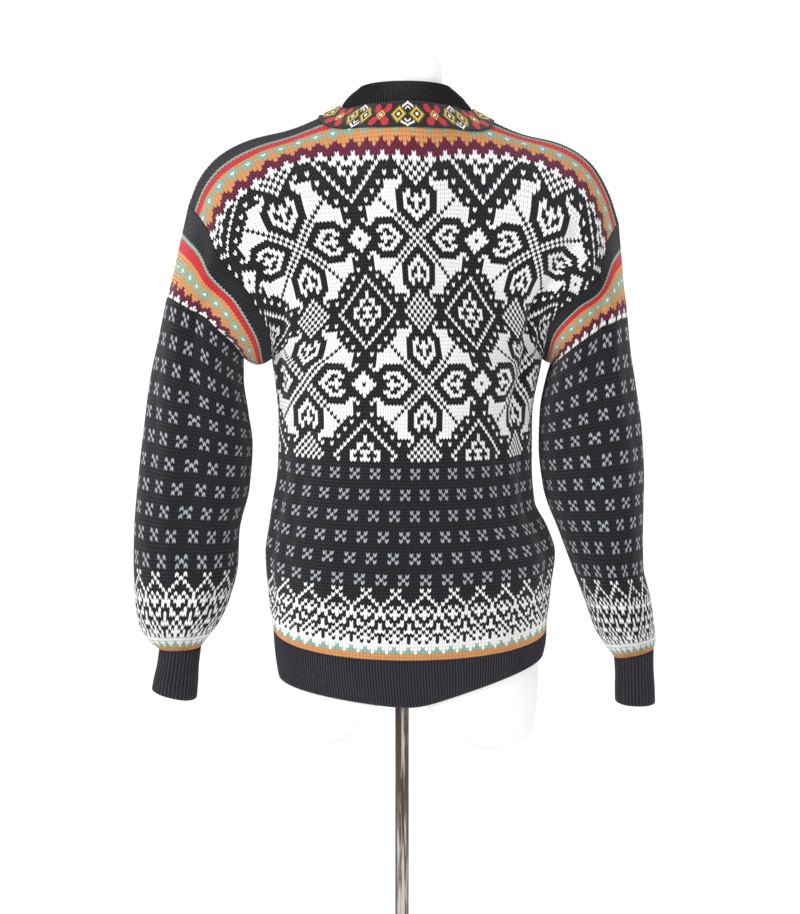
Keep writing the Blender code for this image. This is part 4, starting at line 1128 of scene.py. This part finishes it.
def makeForm():
    rings = formRings()
    level = np.array([1, 1, 0])
    archHigh = form["archZ"] - form["bottomZ"]
    footLow, footTop, footRings = form["foot"]
    for ring in rings[:footRings]:  # the arch lifts the rings near the lower edge
        share = form["footLift"] * (footTop - ring[0, 2]) / (footTop - footLow)
        ring[:, 2] += archHigh * share * np.exp(-((ring[:, 0] / form["archWidth"]) ** 2))
    foot = rings[0]
    centre = np.array([foot[:, 0].mean(), 0, 0])
    underside = []
    for share in np.concatenate([np.linspace(0.06, 0.9, 12), np.linspace(0.92, 0.995, 6)]):
        ring = centre + (foot * level - centre) * share
        floor = form["bottomZ"] + archHigh * np.exp(-((ring[:, 0] / form["archWidth"]) ** 2))
        ring[:, 2] = foot[:, 2] + (floor - foot[:, 2]) * math.sqrt(max(1 - share**6, 0))
        underside.append(ring)
    top, topLow = rings[-1], form["shoulders"][1]
    middle = np.array([form["neckX"], 0, 0])
    cap = []
    for share in np.sin(np.linspace(math.pi / 2, 0.06, 16))[1:]:
        z = topLow + (form["topZ"] - topLow) * (1 - share**2.4) ** 0.55
        cap.append(middle + (top * level - middle) * share + np.array([0, 0, z]))
    rings = underside + rings + cap
    points = np.concatenate(rings)
    faces, _, bakeUv = gridFaces(len(rings), form["around"], True)
    outward = (points - middle) * level
    if not turnedOut(points, faces, outward):
        faces, bakeUv = flipFaces(faces, bakeUv)
    shader = Shader("formShell")
    fine = shader.noise(shader.place(), 30.0, 2.0)
    shader.set(Base_Color=form["colour"], Roughness=0.38 + fine * 0.06)
    print(f"formShell: {2 * len(faces)} triangles")
    standsFor(meshObject("formShell", points, faces, bakeUv, shader.material), "dress_form")


makeForm()

# Pole and base, turned finer than the CAD solids: radius and height of each corner
stand = {
    "pole": ((0.0, 0.430), (0.0072, 0.430), (0.0081, 0.4297), (0.0085, 0.4288), (0.0085, 0.008), (0.0, 0.008)),
    "base": ((0.0, 0.008), (0.0088, 0.008), (0.0088, 0.032), (0.0182, 0.032), (0.0195, 0.0314), (0.020, 0.030),
             (0.020, 0.015), (0.0206, 0.013), (0.023, 0.012), (0.085, 0.0101), (0.148, 0.008), (0.155, 0.0072),
             (0.1585, 0.0058), (0.160, 0.003), (0.160, 0.001), (0.159, 0.0), (0.0, 0.0)),
}


def turnedPiece(name, profile, material, node, steps):
    profile = np.array(profile)
    turn = fullTurn(steps)
    points = np.stack([
        profile[:, 0, None] * np.cos(turn), profile[:, 0, None] * np.sin(turn),
        np.broadcast_to(profile[:, 1, None], (len(profile), steps)),
    ], -1).reshape(-1, 3)
    faces, _, bakeUv = gridFaces(len(profile), steps, True)
    mesh = bpy.data.meshes.new(name)
    mesh.from_pydata(points.tolist(), [], faces.tolist())
    mesh.uv_layers.new(name="OFBake").data.foreach_set("uv", bakeUv.astype(np.float32).ravel())
    mesh.flip_normals()
    mesh.shade_smooth()
    mesh.set_sharp_from_angle(angle=math.radians(40))
    mesh.materials.append(material)
    standsFor(placed(name, mesh), node)


# chrome: dark and light are the tones of painted reflection streaks; baseSteel: dark and light are the steel's
# uneven tone
metals = {
    "chrome": {"dark": (0.085, 0.066, 0.056, 1), "light": (0.50, 0.46, 0.44, 1), "rough": 0.10,
               "streak": (1.0, 1.0, 0.05), "scale": 190.0},
    "baseSteel": {"dark": (0.52, 0.51, 0.50, 1), "light": (0.64, 0.63, 0.62, 1), "rough": 0.24,
                  "streak": (1.0, 1.0, 8.0), "scale": 40.0},
}


def metalMaterial(name):
    look = metals[name]
    shader = Shader(name)
    stretched = {0: shader.place(), 1: look["streak"]}
    where = shader.node("ShaderNodeVectorMath", {"operation": "MULTIPLY"}, stretched)
    toneAndReflectionNoise = shader.noise(where, look["scale"])
    # on the chrome pole the dark and light streaks are painted reflections; on the base disc the same mix
    # gives the steel an uneven tone
    tone = shader.mixColour(toneAndReflectionNoise.between(0.48, 0.66), look["dark"], look["light"])
    shader.set(Base_Color=tone, Metallic=1.0, Roughness=look["rough"] + toneAndReflectionNoise * 0.12)
    return shader.material


turnedPiece("poleTube", stand["pole"], metalMaterial("chrome"), "stand_pole", 64)
turnedPiece("baseDisc", stand["base"], metalMaterial("baseSteel"), "stand_base", 128)
print("form and stand done")

# Floor, light and camera
studio = {"world": 1.1, "floor": (0.97, 0.97, 0.97, 1), "floorRadius": 6.0,
          "key": {"power": 62.0, "size": 1.4, "place": (2.2, 2.4, 2.1), "target": (0, 0, 0.75)},
          "fill": {"power": 8.0, "size": 1.6, "place": (-2.4, 2.2, 1.2), "target": (0, 0, 0.7)}}


def areaLight(name):
    settings = studio[name]
    light = bpy.data.lights.new(name, "AREA")
    light.shape = "DISK"
    light.size = settings["size"]
    light.energy = settings["power"]
    obj = placed(name, light)
    obj.location = settings["place"]
    way = Vector(settings["target"]) - Vector(settings["place"])
    obj.rotation_euler = way.to_track_quat("-Z", "Y").to_euler()


def makeStudio():
    world = bpy.data.worlds.new("studio")
    bpy.context.scene.world = world
    world.use_nodes = True
    background = world.node_tree.nodes["Background"]
    background.inputs[0].default_value = (1, 1, 1, 1)
    background.inputs[1].default_value = studio["world"]
    bpy.context.scene.view_settings.view_transform = "Standard"
    radius, corners = studio["floorRadius"], 128
    points = [(radius * math.cos(t), radius * math.sin(t), 0.0) for t in fullTurn(corners)]
    mesh = bpy.data.meshes.new("floor")
    mesh.from_pydata(points, [], [list(range(corners))])
    shader = Shader("floorPaint")
    shader.set(Base_Color=studio["floor"], Roughness=0.9)
    mesh.materials.append(shader.material)
    placed("floor", mesh)
    areaLight("key")
    areaLight("fill")


# behind the garment and a little above it, tilted down; millimetres for lens and sensor, else metres
lookFrom = {"lens": 101.25, "sensor": 36, "shift": -2 / 800, "place": (0, 2.7, 1.03),
            "tilt": math.atan(307 / 2250)}


def makeCamera():
    camera = placed("camera", bpy.data.cameras.new("camera"))
    camera.data.lens = lookFrom["lens"]
    camera.data.sensor_width = lookFrom["sensor"]
    camera.data.sensor_fit = "HORIZONTAL"
    camera.data.shift_x = lookFrom["shift"]
    camera.location = lookFrom["place"]
    camera.rotation_euler = (math.pi / 2 - lookFrom["tilt"], 0, math.pi)
    bpy.context.scene.camera = camera


makeStudio()
makeCamera()
